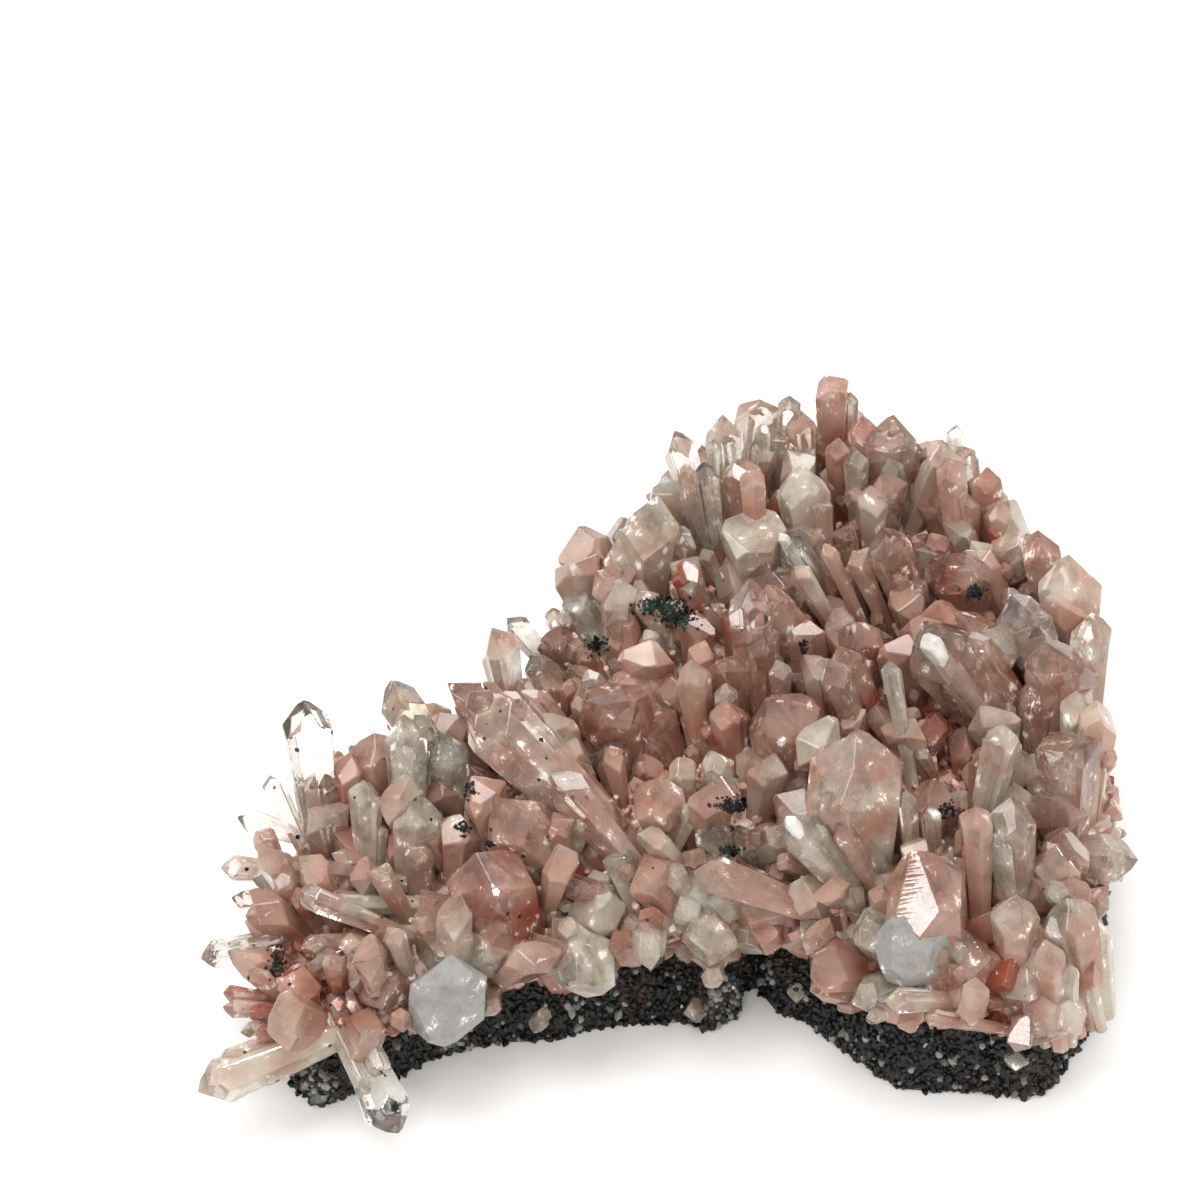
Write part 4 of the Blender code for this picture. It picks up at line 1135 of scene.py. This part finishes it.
def strewing_tree():
    """Copies of a collection's patterns strewn over a mesh."""
    recipe = Recipe("strewn crystals")
    recipe.input("Ground", "NodeSocketGeometry")
    recipe.input("Patterns", "NodeSocketCollection")
    recipe.input("Spacing", "NodeSocketFloat", 2 * MM)
    recipe.input("Smallest", "NodeSocketFloat", 0.7)
    recipe.input("Largest", "NodeSocketFloat", 2.0)
    recipe.input("Lean", "NodeSocketFloat", 0.5)
    recipe.input("Rise", "NodeSocketVector")
    recipe.input("Cloud", "NodeSocketFloat", 0.4)
    recipe.input("Blush", "NodeSocketFloat", 0.6)
    recipe.input("Finish", "NodeSocketMaterial")
    recipe.input("Seed", "NodeSocketInt", 1)
    recipe.tree.interface.new_socket("Crystals", in_out="OUTPUT", socket_type="NodeSocketGeometry")
    given = recipe.node("NodeGroupInput").outputs
    strewn = recipe.node("GeometryNodeDistributePointsOnFaces", {"distribute_method": "POISSON"}, {
        "Mesh": given["Ground"], "Distance Min": given["Spacing"], "Density Max": 5e6, "Seed": given["Seed"],
    })
    strewn.inputs["Density Factor"].default_value = 1.0
    sway = recipe.node("FunctionNodeRandomValue", {"data_type": "FLOAT_VECTOR"}, {
        0: (-1, -1, -1), 1: (1, 1, 1), "Seed": 11,
    })
    lean = recipe.node("ShaderNodeVectorMath", {"operation": "SCALE"}, {
        0: sway.outputs[0], "Scale": given["Lean"],
    })
    raised = recipe.node("ShaderNodeVectorMath", {"operation": "ADD"}, {
        0: strewn.outputs["Normal"], 1: given["Rise"],
    })
    axis = recipe.node("ShaderNodeVectorMath", {"operation": "ADD"}, {
        0: raised.outputs[0], 1: lean.outputs[0],
    })
    stand = recipe.node("FunctionNodeAlignRotationToVector", {"axis": "Z"}, {"Vector": axis.outputs[0]})
    turn = recipe.node("FunctionNodeRandomValue", {"data_type": "FLOAT_VECTOR"}, {
        0: (0, 0, 0), 1: (0, 0, math.tau), "Seed": 12,
    })
    roll = recipe.node("FunctionNodeEulerToRotation", None, {"Euler": turn.outputs[0]})
    turned = recipe.node("FunctionNodeRotateRotation", {"rotation_space": "LOCAL"}, {
        "Rotation": stand.outputs[0], "Rotate By": roll.outputs[0],
    })
    scale = recipe.node("FunctionNodeRandomValue", {"data_type": "FLOAT"}, {
        2: given["Smallest"], 3: given["Largest"], "Seed": 13,
    })
    patterns = recipe.node("GeometryNodeCollectionInfo", None, {
        "Collection": given["Patterns"], "Separate Children": True, "Reset Children": True,
    })
    copies = recipe.node("GeometryNodeInstanceOnPoints", None, {
        "Points": strewn.outputs["Points"], "Instance": patterns.outputs[0], "Pick Instance": True,
        "Rotation": turned.outputs[0], "Scale": scale.outputs[1],
    })
    marked = copies.outputs[0]
    for number, (mark, middle, spread) in enumerate((
        ("cloud", given["Cloud"], 0.2), ("blush", given["Blush"], 0.4), ("tone", 0.5, 0.5),
    )):
        chance = recipe.node("FunctionNodeRandomValue", {"data_type": "FLOAT"}, {
            2: -spread, 3: spread, "Seed": 20 + number,
        })
        value = recipe.node("ShaderNodeMath", {"operation": "ADD"}, {0: middle, 1: chance.outputs[1]})
        marked = recipe.node("GeometryNodeStoreNamedAttribute", {"domain": "INSTANCE"}, {
            "Geometry": marked, "Name": mark, "Value": value.outputs[0],
        }).outputs[0]
    real = recipe.node("GeometryNodeRealizeInstances", None, {"Geometry": marked})
    dressed = recipe.node("GeometryNodeSetMaterial", None, {
        "Geometry": real.outputs[0], "Material": given["Finish"],
    })
    recipe.node("NodeGroupOutput", None, {0: dressed.outputs[0]})
    return recipe


STREWING = strewing_tree()


def strewn_piece(name, ground, patterns, settings):
    """Runs the tree on a mesh and keeps the result as a plain piece."""
    host = bpy.data.objects.new("host of " + name, ground)
    scene.collection.objects.link(host)
    modifier = host.modifiers.new("strewing", "NODES")
    modifier.node_group = STREWING.tree
    modifier[STREWING.keys["Patterns"]] = patterns
    for key, value in settings.items():
        modifier[STREWING.keys[key]] = value
    graph = bpy.context.evaluated_depsgraph_get()
    mesh = bpy.data.meshes.new_from_object(host.evaluated_get(graph))
    bpy.data.objects.remove(host)
    mesh.name = name
    piece = bpy.data.objects.new(name, mesh)
    scene.collection.objects.link(piece)
    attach(piece, "root")
    print(name, "faces:", len(mesh.polygons))
    return piece


def remove_patterns(patterns):
    """Removes the patterns once their copies are made."""
    for item in list(patterns.objects):
        bpy.data.objects.remove(item)
    bpy.data.collections.remove(patterns)


# %% Small crystals on the crust
def crystal_patterns(title, shortest, step, broken_ones, flatness=1.0):
    """Six crystals one millimetre wide for the tree to copy, the last few with broken ends."""
    patterns = bpy.data.collections.new(title)
    for number in range(6):
        length = (shortest + step * number) * MM
        broken = BROKEN_LEAN if number >= 6 - broken_ones else 0.0
        shape, roll = upright_crystal(f"{title} {number}", length, 1.0, 0.6, worn=False, broken=broken)
        bmesh.ops.bevel(shape, geom=shape.edges[:], offset=0.02 * MM, segments=1, affect="EDGES")
        along = shape.verts.layers.float.new("along")
        grown = shape.verts.layers.float_vector.new("grown")
        for vert in shape.verts:
            vert.co.y *= flatness
            vert[along] = max(0.0, vert.co.z / length)
            vert[grown] = vert.co * 4
        mesh = bpy.data.meshes.new(f"{title} {number}")
        shape.to_mesh(mesh)
        shape.free()
        patterns.objects.link(bpy.data.objects.new(mesh.name, mesh))
    return patterns


def on_the_edge(face):
    """Whether a face of the crust belongs to its wall or lies at the brink of it."""
    away = face.calc_center_median().xy - MOUND_CENTRE
    direction = away.normalized()
    brink = back_share(direction) > 0.2 and away.length > 0.90 * rim_reach(direction)
    return brink or face.normal.z < (0.2 if face.normal.y < -0.25 else 0.6)


def crust_part(title, unwanted):
    """A copy of the crust's mesh without its unwanted faces."""
    shape = bmesh.new()
    shape.from_mesh(crust.data)
    bmesh.ops.delete(shape, geom=[face for face in shape.faces if unwanted(face)], context="FACES")
    mesh = bpy.data.meshes.new(title)
    shape.to_mesh(mesh)
    shape.free()
    return mesh


def off_the_wall(face):
    """Whether a face of the crust lies outside its outer wall."""
    return not on_the_edge(face) or face.calc_center_median().z < PLATE_HEIGHT or face.normal.z > 0.8


slender = crystal_patterns("slender crystal", 1.6, 0.3, 2)
stout = crystal_patterns("stout crystal", 1.0, 0.14, 4, 0.6)
blocks = crystal_patterns("wall block", 0.25, 0.06, 3)
upper = ("top of the crust", on_the_edge)
outer = ("wall of the crust", off_the_wall)
strewn = []
for title, part, patterns, spacing, smallest, largest, lean, rise, cloud, seed in (
    ("stout_crystals", upper, stout, 6.5, 6.0, 10.5, 0.6, 0.9, 0.35, 3),
    ("medium_crystals", upper, slender, 5.0, 2.2, 4.4, 0.7, 0.9, 0.25, 4),
    ("tiny_crystals", upper, slender, 2.4, 0.8, 1.8, 0.8, 0.9, 0.25, 5),
    ("wall_blocks", outer, blocks, 2.6, 2.4, 5.0, 0.9, 0.3, 0.85, 6),
):
    fillers = strewn_piece(title, crust_part(*part), patterns, {
        "Spacing": spacing * MM, "Smallest": smallest, "Largest": largest, "Lean": lean,
        "Rise": (-0.4 * rise, 0.15 * rise, rise), "Cloud": cloud, "Blush": 0.7, "Seed": seed,
        "Finish": MASSIVE if largest < 2 else QUARTZ,
    })
    blush = fillers.data.attributes["blush"].data
    for vert, value in zip(fillers.data.vertices, blush):
        # the hollows' painted shade is added to the small crystals' blush too
        value.value += hollow_red_and_shade(vert.co)
    strewn.append(fillers)
remove_patterns(stout)
remove_patterns(blocks)

# %% [markdown]
# ## The dark rock
#
# The plate is a dark rock whose whole broken face is covered with glittering grains about a millimetre
# across, black with hints of purple, brown and teal. The plate itself keeps its solid and gets a
# rough dark finish. The grains are strewn on a copy of it, everywhere but on the underside.

# %% The dark rock
BLACK_GREEN = (0.006, 0.007, 0.006, 1.0)
PURPLE_BROWN = (0.028, 0.014, 0.012, 1.0)
TEAL = (0.005, 0.013, 0.012, 1.0)
# light grey of the grey places, and of scattered grains as partly painted glints
LIGHT_GREY_AND_GLINT = (0.27, 0.27, 0.26, 1.0)


def rock_finish():
    """Rough dark rock."""
    rock = Finish("dark rock")
    patches = rock.clouds(7 * MM, 4.0)
    body = rock.blend(patches.ramped(0.45, 0.7), BLACK_GREEN, PURPLE_BROWN)
    grain = rock.clouds(0.9 * MM, 3.0, 0.7)
    shader = rock.node("ShaderNodeBsdfPrincipled", None, {
        "Base Color": body, "Roughness": 0.45, "Normal": rock.bump(grain, 0.5 * MM),
    })
    return rock.surface(shader.outputs[0])


GREY_SPOTS = (((722, 1000), 4.2), ((1028, 1088), 4.6), ((318, 1084), 4.4), ((446, 1040), 2.4))


def grain_finish():
    """Dark glassy grains, a few light grey places, and light grey grains that are partly painted glints."""
    grain = Finish("druse grain")
    tone = grain.mark("tone")
    patches = grain.clouds(9 * MM, 2.0)
    body = grain.blend(patches.ramped(0.42, 0.62), BLACK_GREEN, PURPLE_BROWN)
    body = grain.blend((tone + patches * 0.4).ramped(0.75, 1.0), body, TEAL)
    # partly painted glints: one grain in ten is light grey
    body = grain.blend(tone.ramped(0.90, 0.99), body, LIGHT_GREY_AND_GLINT)
    for spot, reach in GREY_SPOTS:
        grey = grain.near(point_on_surface(spot, rock_height), reach * MM) * tone.ramped(0.25, 0.5)
        body = grain.blend(grey, body, LIGHT_GREY_AND_GLINT)
    shader = grain.node("ShaderNodeBsdfPrincipled", None, {
        "Base Color": body, "Roughness": tone.ramped(0.9, 0.3) * 0.25 + 0.04, "IOR": 1.38,
    })
    return grain.surface(shader.outputs[0])


plate = frame["nodes"]["matrix"]
plate.data.materials.clear()
plate.data.materials.append(rock_finish())


def level(face):
    """Whether a face is the underside or the covered top."""
    return face.normal.z < -0.9 or face.normal.z > 0.95


def bare_face(unwanted):
    """A copy of the plate's mesh without its unwanted faces, merged so that its normals run on."""
    shape = bmesh.new()
    shape.from_mesh(plate.data)
    bmesh.ops.remove_doubles(shape, verts=shape.verts, dist=0.01 * MM)
    bmesh.ops.delete(shape, geom=[face for face in shape.faces if unwanted(face)], context="FACES")
    mesh = bpy.data.meshes.new("bare face of the plate")
    shape.to_mesh(mesh)
    shape.free()
    return mesh


def grain_patterns():
    """Three stubby six-sided grains one millimetre wide."""
    patterns = bpy.data.collections.new("grain patterns")
    for number, height in enumerate((0.55, 0.75, 1.0)):
        shape = bmesh.new()
        bmesh.ops.create_cone(
            shape, cap_ends=True, segments=6, radius1=0.5 * MM, radius2=0.46 * MM, depth=height * MM,
        )
        top = max(shape.faces, key=lambda face: face.calc_center_median().z)
        hub = bmesh.ops.poke(shape, faces=[top])["verts"][0]
        hub.co.z += (0.3 + 0.1 * number) * MM
        hub.co.x += 0.12 * MM * number
        mesh = bpy.data.meshes.new(f"grain pattern {number}")
        shape.to_mesh(mesh)
        shape.free()
        patterns.objects.link(bpy.data.objects.new(mesh.name, mesh))
    return patterns


patterns = grain_patterns()
grains = strewn_piece("druse_grains", bare_face(level), patterns, {
    "Spacing": 0.74 * MM, "Smallest": 0.45, "Largest": 1.55, "Lean": 1.0,
    "Finish": grain_finish(), "Seed": 9,
})
for vert in grains.data.vertices:
    vert.co.z = max(vert.co.z, 0.0)
remove_patterns(patterns)


def no_quartz(face):
    """Whether a face of the plate carries no small quartz: the front, and patches elsewhere."""
    middle = face.calc_center_median()
    in_front = middle.y < -20 * MM
    return level(face) or in_front or middle.z < 3 * MM or noise.noise(middle / QUARTZ_PATCH) < 0


QUARTZ_PATCH = 9.0 * MM
sprouts = strewn_piece("rock_crystals", bare_face(no_quartz), slender, {
    "Spacing": 3.2 * MM, "Smallest": 0.8, "Largest": 1.9, "Lean": 0.9, "Cloud": 0.15, "Blush": 0.2,
    "Finish": QUARTZ, "Seed": 10,
})
remove_patterns(slender)

# %% [markdown]
# ## Dark places between the points
#
# In a few places green chlorite or the black druse shows between the points. They are seen from the
# front, so each is a handful of dark grains laid where a line of sight meets the finished quartz. A
# tree of faces (BVHTree) finds that meeting point for each grain.

# %% Dark places
CHLORITE = (0.007, 0.017, 0.013, 1.0)
DRUSE_BLACK = (0.006, 0.007, 0.007, 1.0)
DARK_PLACES = (
    ("green", (658, 604), (20, 9), 190), ("green", (678, 616), (18, 11), 190), ("green", (976, 592), (12, 7), 70),
    ("green", (728, 851), (9, 6), 40), ("black", (597, 645), (11, 9), 90), ("black", (733, 805), (18, 7), 150),
    ("black", (949, 809), (11, 8), 50), ("black", (804, 649), (4, 6), 20), ("black", (471, 790), (6, 9), 36),
    ("black", (462, 828), (7, 7), 32), ("black", (491, 843), (5, 4), 18), ("green", (276, 962), (9, 17), 70),
    ("black", (630, 886), (1, 1), 1), ("black", (653, 868), (1, 1), 1), ("black", (647, 920), (1, 1), 1),
    ("black", (632, 918), (1, 1), 1), ("black", (395, 1108), (3, 5), 16),
)


def dark_finish(name, colour):
    """Dark glassy grains."""
    dark = Finish(name)
    tone = dark.clouds(1.5 * MM, 2.0)
    body = dark.blend(tone.ramped(0.35, 0.65), colour, [channel * 2.2 for channel in colour[:3]] + [1.0])
    shader = dark.node("ShaderNodeBsdfPrincipled", None, {
        "Base Color": body, "Roughness": tone * 0.3 + 0.05, "IOR": 1.35,
    })
    return dark.surface(shader.outputs[0])


def line_of_sight(spot, trees):
    """Where the line of sight through spot first meets a piece, and the normal there."""
    start = camera.location
    ahead = (point_in_view(spot, 0.0) - start).normalized()
    met = [tree.ray_cast(start, ahead) for tree in trees]
    met = [hit for hit in met if hit[0] is not None]
    return min(met, key=lambda hit: hit[3])[:2] if met else (None, None)


def dark_grains(kind, material, trees):
    """One piece of all the dark grains of a kind."""
    draw = random.Random("dark places " + kind)
    shape = bmesh.new()
    for sort, centre, reach, count in DARK_PLACES:
        for _ in range(count if sort == kind else 0):
            spot = (draw.gauss(centre[0], reach[0] / 2), draw.gauss(centre[1], reach[1] / 2))
            place, normal = line_of_sight(spot, trees)
            if place is None:
                continue
            size = draw.uniform(0.15, 0.42) * MM
            turn = Vector((draw.uniform(-1, 1), draw.uniform(-1, 1), draw.uniform(-1, 1))) + normal * 1.5
            stand = turn.to_track_quat("Z", "Y").to_matrix().to_4x4()
            bmesh.ops.create_cone(
                shape, cap_ends=True, segments=6, radius1=size, radius2=size * 0.45, depth=size * 1.6,
                matrix=Matrix.Translation(place) @ stand,
            )
    mesh = bpy.data.meshes.new(kind + "_grains")
    shape.to_mesh(mesh)
    shape.free()
    mesh.materials.append(material)
    piece = bpy.data.objects.new(kind + "_grains", mesh)
    scene.collection.objects.link(piece)
    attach(piece, "root")
    print(piece.name, "faces:", len(mesh.polygons))


graph = bpy.context.evaluated_depsgraph_get()
seen = [BVHTree.FromObject(piece, graph) for piece in clusters + [crust] + strewn]
dark_grains("green", dark_finish("chlorite", CHLORITE), seen)
dark_grains("black", dark_finish("black druse", DRUSE_BLACK), seen)

# %% [markdown]
# ## The floor
#
# A plain pale floor lies just under the specimen. It is part of the studio and not of the object.

# %% The floor
FLOOR_SIDE = 3.0
FLOOR_GAP = 0.05 * MM
shape = bmesh.new()
bmesh.ops.create_grid(
    shape, x_segments=1, y_segments=1, size=FLOOR_SIDE / 2, matrix=Matrix.Translation((0, 0, -FLOOR_GAP)),
)
floor_mesh = bpy.data.meshes.new("floor")
shape.to_mesh(floor_mesh)
shape.free()
floor = bpy.data.objects.new("floor", floor_mesh)
scene.collection.objects.link(floor)
pale = Finish("pale floor")
floor_shader = pale.node("ShaderNodeBsdfDiffuse", None, {"Color": (0.9, 0.9, 0.9, 1.0)})
floor_mesh.materials.append(pale.surface(floor_shader.outputs[0]))

# %% [markdown]
# ## The last update
#
# The scene is brought up to date at the end.

# %% The last update
bpy.context.view_layer.update()
